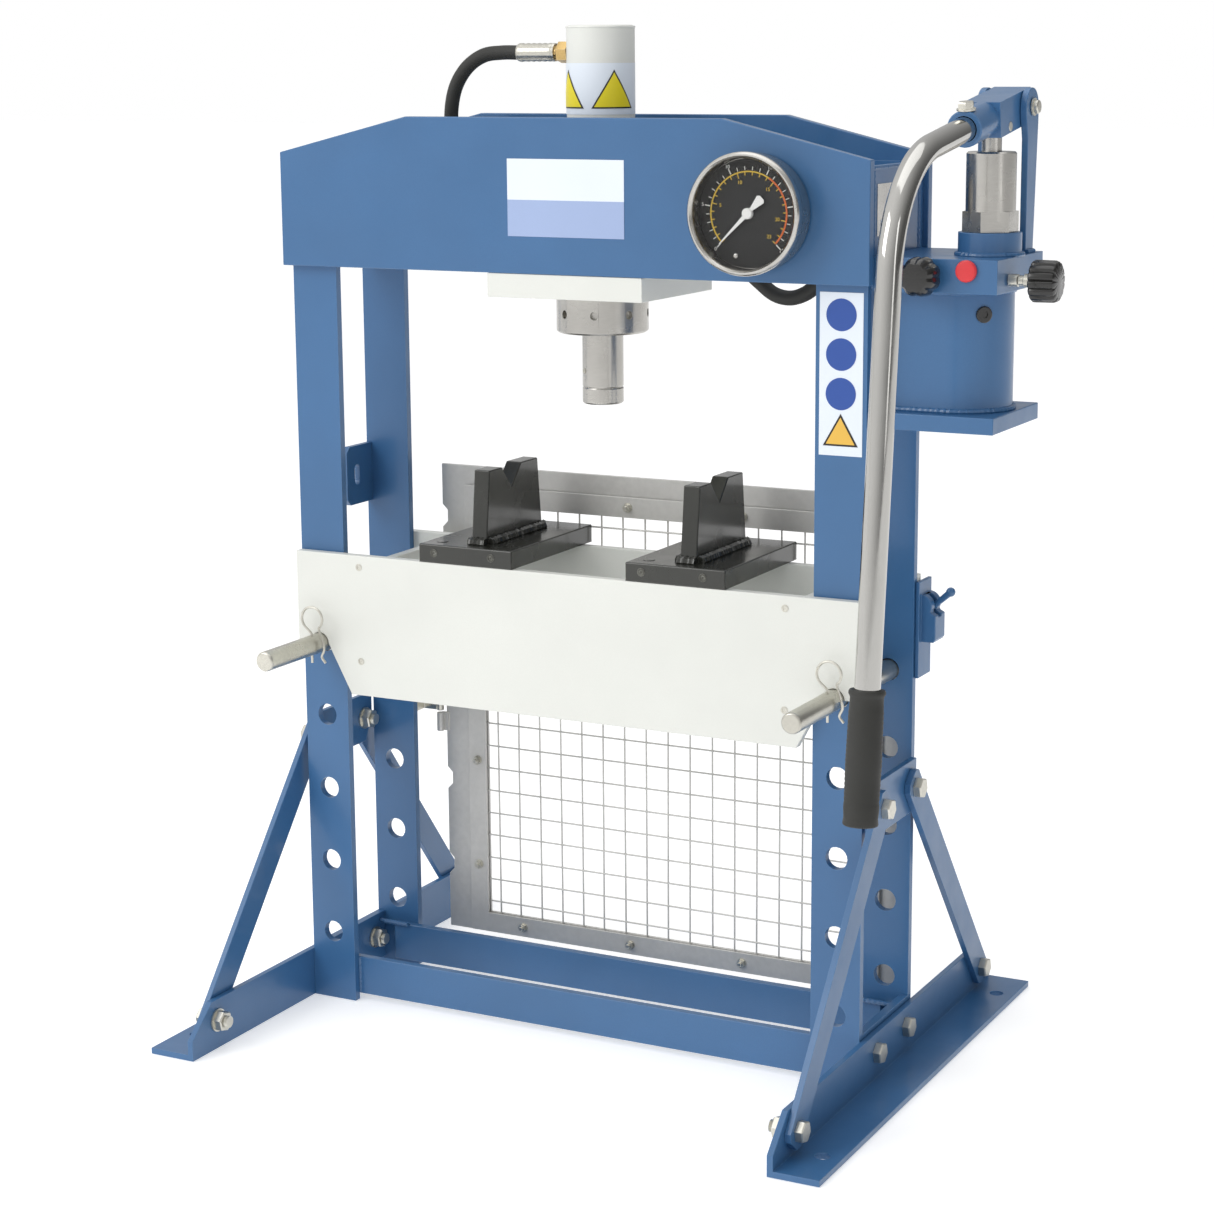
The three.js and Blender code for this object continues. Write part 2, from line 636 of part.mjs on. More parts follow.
// Upright strap with a round lug that carries the fulcrum pin.
function buildStraps() {
  const shape = new THREE.Shape();
  const lug = 17;
  shape.moveTo(29, BLOCK_TOP + GAP);
  shape.lineTo(49, BLOCK_TOP + GAP);
  shape.lineTo(FULCRUM_Y + lug, FULCRUM_Z - 12);
  shape.lineTo(FULCRUM_Y + lug, FULCRUM_Z);
  shape.absarc(FULCRUM_Y, FULCRUM_Z, lug, 0, Math.PI, false);
  shape.lineTo(FULCRUM_Y - lug, FULCRUM_Z - 4);
  shape.lineTo(29, FULCRUM_Z - 28);
  shape.closePath();
  addRound(shape, FULCRUM_Y, FULCRUM_Z, 5.4);
  const right = plateYZ(shape, PLUNGER_X + 17.5, PLUNGER_X + 23.5, 8);
  const left = plateYZ(shape, PLUNGER_X - 23.5, PLUNGER_X - 17.5, 8);
  place('fulcrum_strap_right', right, 'blue');
  place('fulcrum_strap_left', left, 'blue');
  place('fulcrum_pin', turned([
    [0, -30], [7, -30], [7, -24], [5, -24], [5, 24], [6.2, 24], [6.2, 29], [5, 30], [0, 30],
  ], 'x', [PLUNGER_X, FULCRUM_Y, FULCRUM_Z], 16), 'zinc');
}

// Handle parts are drawn level with the fulcrum at the origin, then tilted into place.
function tilted(manifold) {
  const degrees = THREE.MathUtils.radToDeg(HANDLE_TILT);
  return manifold.rotate([degrees, 0, 0]).translate([PLUNGER_X, FULCRUM_Y, FULCRUM_Z]);
}

function buildSocket() {
  const block = box(-17, 17, -68, 14, -15.5, 15.5);
  const pocket = box(-9.7, 9.7, -60, -24, -30, 6);
  const axisHole = rod('x', 5.4, -30, 30, [0, 0, 0], 14);
  const pinHole = rod('x', 4.6, -30, 30, [0, PLUNGER_PIN_REACH, PLUNGER_PIN_DROP], 12);
  const barrel = turned([
    [0, -114], [15, -114], [16, -113], [16, -60], [0, -60],
  ], 'y', [0, 0, 0], 24);
  const bore = rod('y', LEVER_RADIUS + 0.6, -130, LEVER_START + GAP, [0, 0, 0], 20);
  const body = block.add(barrel).subtract(pocket).subtract(axisHole).subtract(pinHole);
  place('handle_socket', tilted(body.subtract(bore)), 'blue');
}

// Centre line of the bent pipe in the handle's own Y and Z.
function leverRoute() {
  const tangent = LEVER_BEND * Math.tan(LEVER_TURN / 2);
  const bendStart = LEVER_CORNER + tangent;
  const points = [];
  const straight = 4;
  for (let i = 0; i < straight; i += 1) {
    const y = LEVER_START + ((bendStart - LEVER_START) * i) / straight;
    points.push(new THREE.Vector3(0, y, 0));
  }
  const arc = 12;
  for (let i = 0; i <= arc; i += 1) {
    const angle = (LEVER_TURN * i) / arc;
    const y = bendStart - LEVER_BEND * Math.sin(angle);
    const z = -LEVER_BEND * (1 - Math.cos(angle));
    points.push(new THREE.Vector3(0, y, z));
  }
  const last = points[points.length - 1];
  const direction = new THREE.Vector3(0, -Math.cos(LEVER_TURN), -Math.sin(LEVER_TURN));
  const remaining = LEVER_END - tangent;
  const legs = 6;
  for (let i = 1; i <= legs; i += 1) {
    points.push(last.clone().addScaledVector(direction, (remaining * i) / legs));
  }
  return { points, direction };
}

function buildLever() {
  const { points, direction } = leverRoute();
  place('pump_lever', tilted(tube(points, LEVER_RADIUS, 14, 34)), 'chrome');

  const end = points[points.length - 1];
  const grip = new THREE.LatheGeometry([
    [0, -5], [14, -5], [15, -3], [14.2, 2], [15.2, 12], [15.6, 50], [14.6, 92], [14, 103],
    [15.2, 106], [15, GRIP_LENGTH], [LEVER_RADIUS + GAP, GRIP_LENGTH], [LEVER_RADIUS + GAP, -GAP],
    [0, -GAP],
  ].map(([r, h]) => new THREE.Vector2(r, h)), 24);
  const up = direction.clone().negate();
  grip.applyQuaternion(new THREE.Quaternion().setFromUnitVectors(new THREE.Vector3(0, 1, 0), up));
  grip.translate(end.x, end.y, end.z);
  place('lever_grip', tilted(solid(grip)), 'rubber');
}

// Fluted hand wheel drawn along +Z from its back face.
function knob(radius, frontRadius, depth, flutes) {
  const shape = new THREE.Shape();
  const count = flutes * 4;
  for (let i = 0; i < count; i += 1) {
    const angle = (i / count) * Math.PI * 2;
    const r = i % 4 < 2 ? 1 : 0.92;
    const a = Math.cos(angle) * r;
    const b = Math.sin(angle) * r;
    if (i === 0) shape.moveTo(a, b);
    else shape.lineTo(a, b);
  }
  shape.closePath();
  const geometry = extruded(shape, 1);
  const positions = geometry.getAttribute('position');
  for (let i = 0; i < positions.count; i += 1) {
    const along = positions.getZ(i);
    const r = along > 0.5 ? frontRadius : radius;
    positions.setXYZ(i, positions.getX(i) * r, positions.getY(i) * r, along * depth);
  }
  return solid(geometry);
}

function buildKnobs() {
  const stem = rod('z', 5, -21.5, 1, [0, 0, 0], 14);
  const side = knob(18.6, 17.8, 24, 10).add(stem).rotate([0, 90, 0]);
  place('release_knob', side.translate([446, -33, 764]), 'plastic');
  const shortStem = rod('z', 6, -7.4, 1, [0, 0, 0], 14);
  const front = knob(18, 15.5, 22, 8).add(shortStem).rotate([90, 0, 0]);
  place('selector_knob', front.translate([357, -PUMP_HALF - GAP - 7.6, 768]), 'plastic');
}

// ---------------------------------------------------------------- guard and latch

// Closed rectangular path in X and Z, for a cut-out.
function cutout(x0, x1, z0, z1) {
  const hole = new THREE.Path();
  hole.moveTo(x0, z0);
  hole.lineTo(x0, z1);
  hole.lineTo(x1, z1);
  hole.lineTo(x1, z0);
  hole.closePath();
  return hole;
}

function buildGuardFrame() {
  const points = [[GUARD_LEFT, GUARD_TOP]];
  for (const z of [486, 391, 296, 201, 106]) {
    points.push([GUARD_LEFT, z + 12], [GUARD_LEFT + 6, z + 6]);
    points.push([GUARD_LEFT + 6, z - 6], [GUARD_LEFT, z - 12]);
  }
  points.push([GUARD_LEFT, GUARD_BOTTOM], [GUARD_RIGHT, GUARD_BOTTOM], [GUARD_RIGHT, GUARD_TOP]);
  const shape = outline(points);
  shape.holes.push(cutout(WINDOW_LEFT, WINDOW_RIGHT, WINDOW_BOTTOM, WINDOW_TOP));
  const sheetFront = GUARD_Y + 5.7;
  let frame = plateXZ(shape, sheetFront, sheetFront + 3);
  for (const z of [253, 327]) {
    const knuckle = rod('z', 4, z, z + 20, [GUARD_HINGE_X, GUARD_HINGE_Y, 0], 14);
    const tab = box(GUARD_HINGE_X - 1, GUARD_LEFT + 3, sheetFront - 2, sheetFront + 2, z, z + 20);
    frame = frame.add(knuckle).add(tab);
  }
  place('guard_frame', frame, 'galvanised');
}

function buildGuardInfill() {
  const strip = outline([
    [WINDOW_LEFT - GUARD_STRIP, WINDOW_BOTTOM - GUARD_STRIP],
    [WINDOW_RIGHT + GUARD_STRIP, WINDOW_BOTTOM - GUARD_STRIP],
    [WINDOW_RIGHT + GUARD_STRIP, WINDOW_TOP + GUARD_STRIP],
    [WINDOW_LEFT - GUARD_STRIP, WINDOW_TOP + GUARD_STRIP],
  ]);
  strip.holes.push(cutout(WINDOW_LEFT, WINDOW_RIGHT, WINDOW_BOTTOM, WINDOW_TOP));
  place('guard_strip', plateXZ(strip, GUARD_Y, GUARD_Y + 2.7), 'galvanised');

  const edge = 12;
  const x0 = WINDOW_LEFT - edge;
  const z0 = WINDOW_BOTTOM - edge;
  const dx = (WINDOW_RIGHT - WINDOW_LEFT + 2 * edge) / MESH_CELLS;
  const dz = (WINDOW_TOP - WINDOW_BOTTOM + 2 * edge) / MESH_CELLS;
  const half = MESH_WIRE / 2;
  const x1 = x0 + dx * MESH_CELLS;
  const z1 = z0 + dz * MESH_CELLS;
  const front = GUARD_Y + 3;
  let grid = null;
  for (let i = 0; i <= MESH_CELLS; i += 1) {
    const x = x0 + dx * i;
    const z = z0 + dz * i;
    const upright = box(x - half, x + half, front, front + MESH_WIRE, z0 - half, z1 + half);
    const level = box(x0 - half, x1 + half, front, front + MESH_WIRE, z - half, z + half);
    const cross = upright.add(level);
    grid = grid === null ? cross : grid.add(cross);
  }
  place('guard_mesh', grid, 'galvanised');
}

function buildGuardHinge() {
  const low = 275.5;
  const high = 324.5;
  const back = postFrontFace + GAP;
  const leaf = box(-298, -262, back, back + 3, low, high);
  const arm = box(-265, -262, back, GUARD_HINGE_Y + 1.5, low, high);
  const bridge = box(-265, GUARD_HINGE_X, GUARD_HINGE_Y - 1.5, GUARD_HINGE_Y + 1.5, low, high);
  const barrel = rod('z', 4, low, high, [GUARD_HINGE_X, GUARD_HINGE_Y, 0], 14);
  place('guard_hinge', leaf.add(arm).add(bridge).add(barrel), 'zinc');
}

function buildLatch() {
  const plate = box(POST_OUTER + GAP, POST_OUTER + 4.3, 62, 95, 373, 467);
  const shape = new THREE.Shape();
  shape.moveTo(308, 408);
  shape.lineTo(322, 408);
  shape.lineTo(324, 411);
  shape.lineTo(324, 434);
  shape.lineTo(320, 436);
  shape.absarc(309, 443, 11, -0.5, Math.PI / 2, false);
  shape.lineTo(308, 454);
  shape.closePath();
  const body = plateXZ(shape, 67, 93, 6);
  const slot = box(311, 330, 76, 84, 432, 460);
  place('latch_housing', plate.add(body).subtract(slot), 'blue');

  const stem = new THREE.CylinderGeometry(3.4, 2.6, 22, 12);
  stem.translate(0, 11, 0);
  const ball = new THREE.SphereGeometry(4.6, 12, 8);
  ball.translate(0, 23, 0);
  const lever = solid(stem).add(solid(ball)).rotate([0, 0, -48]).rotate([90, 0, 0]);
  place('latch_lever', lever.translate([317, 80, 441]), 'blue');
}

buildBeam();
buildPosts();
buildRails();
buildGussets();
buildBraces();
buildFeet();
buildSlotBracket();
buildHead();
buildRam();
buildHose();
buildGauge();
buildBed();
buildPins();
buildVBlocks();
buildPumpBody();
buildPumpCylinder();
buildStraps();
buildSocket();
buildLever();
buildKnobs();
buildGuardFrame();
buildGuardInfill();
buildGuardHinge();
buildLatch();

// The origin is the middle of the overall box on the floor.
const bounds = new THREE.Box3().setFromObject(press);
const middle = bounds.getCenter(new THREE.Vector3());
press.position.set(-middle.x, -middle.y, -bounds.min.z);
press.updateMatrixWorld(true);

export default press;
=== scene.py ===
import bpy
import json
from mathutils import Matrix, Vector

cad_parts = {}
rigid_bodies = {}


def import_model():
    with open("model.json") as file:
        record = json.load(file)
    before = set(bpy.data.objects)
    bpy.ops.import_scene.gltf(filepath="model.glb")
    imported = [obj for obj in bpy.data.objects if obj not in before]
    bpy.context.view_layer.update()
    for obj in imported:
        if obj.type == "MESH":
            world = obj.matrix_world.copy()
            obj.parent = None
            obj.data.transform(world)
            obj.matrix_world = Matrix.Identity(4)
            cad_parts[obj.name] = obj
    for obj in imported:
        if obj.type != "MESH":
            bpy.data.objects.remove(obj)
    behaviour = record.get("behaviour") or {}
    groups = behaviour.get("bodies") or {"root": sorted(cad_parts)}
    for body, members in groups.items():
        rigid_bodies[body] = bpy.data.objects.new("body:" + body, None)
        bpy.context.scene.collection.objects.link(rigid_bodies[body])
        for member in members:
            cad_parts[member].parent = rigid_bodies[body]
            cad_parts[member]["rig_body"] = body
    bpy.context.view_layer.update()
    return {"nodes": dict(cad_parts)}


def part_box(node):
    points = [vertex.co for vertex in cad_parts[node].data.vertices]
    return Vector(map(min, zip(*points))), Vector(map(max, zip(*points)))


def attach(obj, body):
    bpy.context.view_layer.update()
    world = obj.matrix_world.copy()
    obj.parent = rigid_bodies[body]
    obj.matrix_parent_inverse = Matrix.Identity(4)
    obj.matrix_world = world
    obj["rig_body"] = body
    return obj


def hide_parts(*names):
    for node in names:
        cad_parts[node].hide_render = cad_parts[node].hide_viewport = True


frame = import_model()

import json
import math
import random

import bmesh
import bpy
from mathutils import Matrix, Vector

# Lengths are millimetres from the middle of the press, on the floor:
# X to the pump, Y to the back, Z up. at() turns them into the frame's metres.
MM = 0.001
front_low, front_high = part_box("beam_front_plate")
rear_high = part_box("beam_rear_plate")[1]
MIDDLE = Vector(((front_low.x + front_high.x) / 2, (front_low.y + rear_high.y) / 2, 0))
X_AXIS = Vector((1, 0, 0))
Y_AXIS = Vector((0, 1, 0))
Z_AXIS = Vector((0, 0, 1))


def at(x, y, z):
    return MIDDLE + Vector((x, y, z)) * MM


# ------------------------------------------------------------------ camera and light

CAMERA_AT = (1184.9, -2258.6, 961.2)
CAMERA_YAW = math.radians(27.0)
CAMERA_PITCH = math.radians(11.34)
CAMERA_ROLL = math.radians(0.33)
CAMERA_SENSOR = 36
CAMERA_LENS = 78.58
CAMERA_SHIFT = (-0.0202, -0.0188)
CAMERA_FAR = 50

# Name, place, target, width and height in metres, then watts.
SOFTBOXES = (
    ("key_light", (-1.6, -2.2, 2.4), (0, 0, 0.5), 1.6, 1.6, 27),
    ("fill_light", (2.6, -1.2, 1.5), (0, 0, 0.5), 0.5, 1.8, 4),
    ("top_light", (0.1, 0.3, 3.0), (0, 0, 0), 2.2, 2.2, 14),
)
ROOM_BRIGHT_SIDE = (-0.72, -0.42, 0.55)
ROOM_FADE = (-0.7, 0.9)
ROOM_LIGHT = (0.14, 1.05)
ROOM_SEEN = 1.0
FLOOR_HALF = 30000
FLOOR_Z = -0.4
FLOOR_TONE = (0.93, 0.93, 0.93)
FLOOR_GLOW = 0.42


def add_camera():
    data = bpy.data.cameras.new("camera")
    data.sensor_width = CAMERA_SENSOR
    data.lens = CAMERA_LENS
    data.shift_x, data.shift_y = CAMERA_SHIFT
    data.clip_end = CAMERA_FAR
    camera = bpy.data.objects.new("camera", data)
    turn = Matrix.Rotation(CAMERA_YAW, 4, "Z")
    tip = Matrix.Rotation(math.pi / 2 - CAMERA_PITCH, 4, "X")
    roll = Matrix.Rotation(-CAMERA_ROLL, 4, "Z")
    camera.matrix_world = Matrix.Translation(at(*CAMERA_AT)) @ turn @ tip @ roll
    bpy.context.scene.collection.objects.link(camera)
    bpy.context.scene.camera = camera


def add_softbox(name, place, target, width, height, watts):
    data = bpy.data.lights.new(name, "AREA")
    data.shape = "RECTANGLE"
    data.size = width
    data.size_y = height
    data.energy = watts
    light = bpy.data.objects.new(name, data)
    direction = Vector(target) - Vector(place)
    light.matrix_world = Matrix.Translation(place) @ direction.to_track_quat("-Z", "Y").to_matrix().to_4x4()
    bpy.context.scene.collection.objects.link(light)


def add_world():
    """White room to the eye, whose light is weaker from the pump side and the back."""
    world = bpy.data.worlds.new("studio")
    world.use_nodes = True
    tree = world.node_tree
    background = tree.nodes["Background"]
    background.inputs["Color"].default_value = (1, 1, 1, 1)
    direction = tree.nodes.new("ShaderNodeTexCoord").outputs["Generated"]
    facing = tree.nodes.new("ShaderNodeVectorMath")
    facing.operation = "DOT_PRODUCT"
    facing.inputs[1].default_value = Vector(ROOM_BRIGHT_SIDE).normalized()
    tree.links.new(direction, facing.inputs[0])
    spread = tree.nodes.new("ShaderNodeMapRange")
    limits = zip(("From Min", "From Max", "To Min", "To Max"), ROOM_FADE + ROOM_LIGHT)
    for key, value in limits:
        spread.inputs[key].default_value = value
    tree.links.new(facing.outputs["Value"], spread.inputs["Value"])
    seen = tree.nodes.new("ShaderNodeLightPath").outputs["Is Camera Ray"]
    strength = tree.nodes.new("ShaderNodeMix")
    tree.links.new(seen, strength.inputs[0])
    tree.links.new(spread.outputs["Result"], strength.inputs[2])
    strength.inputs[3].default_value = ROOM_SEEN
    tree.links.new(strength.outputs[0], background.inputs["Strength"])
    bpy.context.scene.world = world


def add_studio():
    for softbox in SOFTBOXES:
        add_softbox(*softbox)
    add_world()
    bpy.context.scene.view_settings.view_transform = "Standard"
    floor = Build("studio_floor")
    signs = ((-1, -1), (1, -1), (1, 1), (-1, 1))
    floor.loft([[at(x * FLOOR_HALF, y * FLOOR_HALF, FLOOR_Z) for x, y in signs]])
    pale = finish("studio_floor", FLOOR_TONE, 0.6, spread=0.01, grain=60, depth=0.01)
    surface = pale.node_tree.nodes["Principled BSDF"]
    surface.inputs["Emission Color"].default_value = (1, 1, 1, 1)
    surface.inputs["Emission Strength"].default_value = FLOOR_GLOW
    floor.object(pale)


# ------------------------------------------------------------------ shapes

SMOOTH_ANGLE = math.radians(35)
BEVEL_SEGMENTS = 2
BEAD_STEP = 1.6
BEAD_SIDES = 8
HEX_CHAMFER = 1.2


class Build:
    """Collects closed shapes into one mesh."""

    def __init__(self, name):
        self.name = name
        self.mesh = bmesh.new()

    def face(self, corners):
        kept = []
        for corner in corners:
            if corner not in kept:
                kept.append(corner)
        if len(kept) > 2:
            self.mesh.faces.new(kept)

    def loft(self, rings, loop=False):
        rows = [[self.mesh.verts.new(point) for point in ring] for ring in rings]
        pairs = list(zip(rows, rows[1:]))
        if loop:
            pairs.append((rows[-1], rows[0]))
        for low, high in pairs:
            count = max(len(low), len(high))
            for i in range(count):
                j = (i + 1) % count
                self.face([low[i % len(low)], low[j % len(low)], high[j % len(high)], high[i % len(high)]])
        if not loop:
            self.face(rows[0])
            if len(rows) > 1:
                self.face(rows[-1])

    def turn(self, profile, centre, axis, steps, shape=None, loop=False):
        """Solid of revolution from (radius, height) pairs; shape(angle) scales the radius."""
        axis = axis.normalized()
        side = axis.orthogonal().normalized()
        other = axis.cross(side)
        rings = []
        for radius, height in profile:
            if radius == 0:
                rings.append([centre + axis * height * MM])
                continue
            ring = []
            for i in range(steps):
                angle = math.tau * i / steps
                reach = radius * MM * (shape(angle) if shape else 1)
                outward = side * math.cos(angle) + other * math.sin(angle)
                ring.append(centre + axis * height * MM + outward * reach)
            rings.append(ring)
        self.loft(rings, loop)

    def rod(self, start, end, radius, steps=24):
        """Round bar with broken edges."""
        length = (end - start).length / MM
        edge = min(0.4, radius * 0.2)
        profile = [(0, 0), (radius - edge, 0), (radius, edge),
                   (radius, length - edge), (radius - edge, length), (0, length)]
        self.turn(profile, start, end - start, steps)

    def sweep(self, points, radius, sides, ripple=None, loop=False):
        """Tube along points; ripple(i) scales the radius at point i."""
        count = len(points)
        across = None
        rings = []
        for i, point in enumerate(points):
            before = points[i - 1] if i or loop else point
            after = points[(i + 1) % count] if i + 1 < count or loop else point
            along = (after - before).normalized()
            across = along.orthogonal() if across is None else across - along * across.dot(along)
            across.normalize()
            other = along.cross(across)
            reach = radius * MM * (ripple(i) if ripple else 1)
            ring = []
            for k in range(sides):
                angle = math.tau * k / sides
                ring.append(point + (across * math.cos(angle) + other * math.sin(angle)) * reach)
            rings.append(ring)
        self.loft(rings, loop)

    def bead(self, points, radius, loop=False):
        """Weld bead: a tube whose radius ripples along its length."""
        track = resample(points, BEAD_STEP, loop)
        sizes = [1 + 0.12 * math.sin(i * 1.9) + chance.uniform(-0.08, 0.08) for i in range(len(track))]
        self.sweep(track, radius, BEAD_SIDES, lambda i: sizes[i], loop)

    def block(self, low, high):
        """Box between two corners in millimetres."""
        (x0, y0, z0), (x1, y1, z1) = low, high
        rings = []
        for z in (z0, z1):
            rings.append([at(x0, y0, z), at(x1, y0, z), at(x1, y1, z), at(x0, y1, z)])
        self.loft(rings)

    def hexagon(self, centre, axis, across_flats, height):
        """Hexagon head, drawn in a little at the outer end."""
        radius = across_flats / math.sqrt(3)
        profile = [(0, 0), (radius, 0), (radius, height - HEX_CHAMFER), (radius * 0.9, height), (0, height)]
        self.turn(profile, centre, axis, 6)

    def object(self, material):
        bmesh.ops.recalc_face_normals(self.mesh, faces=self.mesh.faces)
        data = bpy.data.meshes.new(self.name)
        self.mesh.to_mesh(data)
        self.mesh.free()
        shade(data)
        data.materials.append(material)
        piece = bpy.data.objects.new(self.name, data)
        bpy.context.scene.collection.objects.link(piece)
        return piece

    def place(self, look, body="frame", replaces=()):
        """Finishes the piece: its material, its body and the CAD nodes it stands for."""
        slot, material = look
        piece = self.object(material)
        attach(piece, body)
        if replaces:
            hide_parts(*replaces)


def shade(data):
    """Smooth faces, with edges sharper than the smooth angle kept hard."""
    for polygon in data.polygons:
        polygon.use_smooth = True
    data.set_sharp_from_angle(angle=SMOOTH_ANGLE)


def add_bevel(piece, width):
    bevel = piece.modifiers.new("edges", "BEVEL")
    bevel.width = width * MM
    bevel.segments = BEVEL_SEGMENTS
    bevel.limit_method = "ANGLE"
    bevel.angle_limit = SMOOTH_ANGLE
    normals = piece.modifiers.new("normals", "WEIGHTED_NORMAL")
    normals.keep_sharp = True


def resample(points, step, loop):
    """Points about step millimetres apart along a polyline."""
    ends = points[1:] + ([points[0]] if loop else [])
    track = []
    for start, end in zip(points, ends):
        count = max(1, round((end - start).length / MM / step))
        track += [start.lerp(end, i / count) for i in range(count)]
    if not loop:
        track.append(points[-1])
    return track


def smooth(points, steps=6):
    """Catmull-Rom curve through the points."""
    padded = [points[0] * 2 - points[1]] + list(points) + [points[-1] * 2 - points[-2]]
    track = []
    for a, b, c, d in zip(padded, padded[1:], padded[2:], padded[3:]):
        for i in range(steps):
            t = i / steps
            point = b * 2 + (c - a) * t + (a * 2 - b * 5 + c * 4 - d) * t * t
            track.append((point + (b * 3 - a - c * 3 + d) * t * t * t) / 2)
    track.append(points[-1])
    return track


def circle(centre, radius, axis, steps):
    side = axis.orthogonal().normalized()
    other = axis.cross(side)
    ring = []
    for i in range(steps):
        angle = math.tau * i / steps
        ring.append(centre + (side * math.cos(angle) + other * math.sin(angle)) * radius * MM)
    return ring


WELD_DISTANCE = 2e-6
FLAT_ANGLE = math.radians(0.8)


def dress(node, look, edge):
    """The CAD node's own shape with rounded edges and smooth round faces."""
    slot, material = look
    source = frame["nodes"][node]
    shape = bmesh.new()
    shape.from_mesh(source.data)
    bmesh.ops.remove_doubles(shape, verts=shape.verts, dist=WELD_DISTANCE)
    bmesh.ops.dissolve_limit(shape, angle_limit=FLAT_ANGLE, verts=shape.verts, edges=shape.edges)
    data = bpy.data.meshes.new(node + "_shell")
    shape.to_mesh(data)
    shape.free()
    shade(data)
    data.materials.clear()
    data.materials.append(material)
    piece = bpy.data.objects.new(node + "_shell", data)
    bpy.context.scene.collection.objects.link(piece)
    if edge:
        add_bevel(piece, edge)
    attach(piece, source["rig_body"])
    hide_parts(node)


# ------------------------------------------------------------------ materials

class Shader:
    """Short names for adding nodes to one material."""

    def __init__(self, name):
        self.material = bpy.data.materials.new(name)
        self.material.use_nodes = True
        self.tree = self.material.node_tree
        self.surface = self.tree.nodes["Principled BSDF"]
        self.place = self.tree.nodes.new("ShaderNodeTexCoord").outputs["Object"]

    def node(self, kind, inputs=None, **settings):
        node = self.tree.nodes.new(kind)
        for key, value in settings.items():
            setattr(node, key, value)
        for key, value in (inputs or {}).items():
            if isinstance(value, bpy.types.NodeSocket):
                self.tree.links.new(value, node.inputs[key])
            else:
                node.inputs[key].default_value = value
        return node

    def noise(self, scale, detail, stretch=None):
        vector = self.place
        if stretch:
            vector = self.node("ShaderNodeMapping", {"Vector": vector, "Scale": stretch}).outputs["Vector"]
        inputs = {"Vector": vector, "Scale": scale, "Detail": detail}
        return self.node("ShaderNodeTexNoise", inputs).outputs["Fac"]

    def ramp(self, value, low, high, start=0.0, end=1.0):
        inputs = {"Value": value, "From Min": low, "From Max": high, "To Min": start, "To Max": end}
        return self.node("ShaderNodeMapRange", inputs).outputs["Result"]

    def mix(self, factor, first, second):
        node = self.node("ShaderNodeMix", data_type="RGBA")
        for key, value in ((0, factor), (6, first), (7, second)):
            if isinstance(value, bpy.types.NodeSocket):
                self.tree.links.new(value, node.inputs[key])
            else:
                node.inputs[key].default_value = value
        return node.outputs[2]

    def edges(self, radius):
        """1 on convex and concave edges, 0 on open faces."""
        rounded = self.node("ShaderNodeBevel", {"Radius": radius * MM}, samples=4).outputs["Normal"]
        plain = self.node("ShaderNodeNewGeometry").outputs["Normal"]
        inputs = {0: rounded, 1: plain}
        alike = self.node("ShaderNodeVectorMath", inputs, operation="DOT_PRODUCT").outputs["Value"]
        return self.ramp(alike, 0.995, 0.8)

    def bump(self, height, strength, distance, under=None):
        inputs = {"Height": height, "Strength": strength, "Distance": distance * MM}
        if under:
            inputs["Normal"] = under
        return self.node("ShaderNodeBump", inputs).outputs["Normal"]

    def set(self, **sockets):
        for key, value in sockets.items():
            socket = self.surface.inputs[key.replace("_", " ")]
            if isinstance(value, bpy.types.NodeSocket):
                self.tree.links.new(value, socket)
            else:
                socket.default_value = value


def linear(colour):
    """Display colour to the shader's linear colour."""
    return tuple(c / 12.92 if c <= 0.04045 else ((c + 0.055) / 1.055) ** 2.4 for c in colour)


def shifted(colour, amount):
    return tuple(min(1, max(0, c * amount)) for c in linear(colour)) + (1,)


def finish(name, colour, rough, spread=0.08, grain=700, depth=0.05, metal=0.0, stretch=None,
           wear_and_highlight=None, wear_and_highlight_amount=0.5, coat=0.0, waves=25):
    """Coloured surface with drifting tone, fine grain, uneven gloss and, when an edge colour is given, paler
    edges: partly wear, partly a painted highlight in a lighter copy of the colour.
    """
    shader = Shader(name)
    drift = shader.noise(waves * 0.4, 4.0)
    tone = shader.mix(shader.ramp(drift, 0.3, 0.7), shifted(colour, 1 - spread), shifted(colour, 1 + spread))
    fine = shader.noise(grain, 4.0, stretch)
    tone = shader.mix(shader.ramp(fine, 0.35, 0.65, 0.0, 0.35), tone, shifted(colour, 1 - spread * 1.6))
    # Painted highlight, partly wear: edges and corners take a lighter copy of the colour, in patches.
    if wear_and_highlight:
        wear_and_highlight_edges = shader.edges(1.6)
        patchy = shader.ramp(shader.noise(180, 4.0), 0.42, 0.62, 0.15, wear_and_highlight_amount)
        amount = shader.node("ShaderNodeMath", {0: wear_and_highlight_edges, 1: patchy}, operation="MULTIPLY").outputs[0]
        tone = shader.mix(amount, tone, shifted(wear_and_highlight, 1.0))
    shader.set(Base_Color=tone, Metallic=metal)
    uneven = shader.noise(waves, 5.0)
    shader.set(Roughness=shader.ramp(uneven, 0.3, 0.7, max(0.03, rough - 0.07), min(1, rough + 0.07)))
    relief = shader.bump(shader.noise(waves * 3, 2.0), 0.12, 0.25)
    shader.set(Normal=shader.bump(fine, 0.35, depth, relief))
    if coat:
        shader.set(Coat_Weight=coat, Coat_Roughness=0.12)
    return shader.material


def clear_glass():
    shader = Shader("gauge_glass")
    smear = shader.ramp(shader.noise(40, 4.0), 0.35, 0.7, 0.02, 0.08)
    shader.set(Base_Color=(0.1, 0.1, 0.1, 1), Alpha=0.07, Roughness=smear)
    shader.material.surface_render_method = "DITHERED"
    return shader.material


BLUE_TONE = (0.222, 0.403, 0.585)
# Lighter copy of BLUE_TONE for the blue's edges: partly wear, partly a painted highlight.
WEAR_AND_HIGHLIGHT_BLUE = (0.40, 0.56, 0.72)


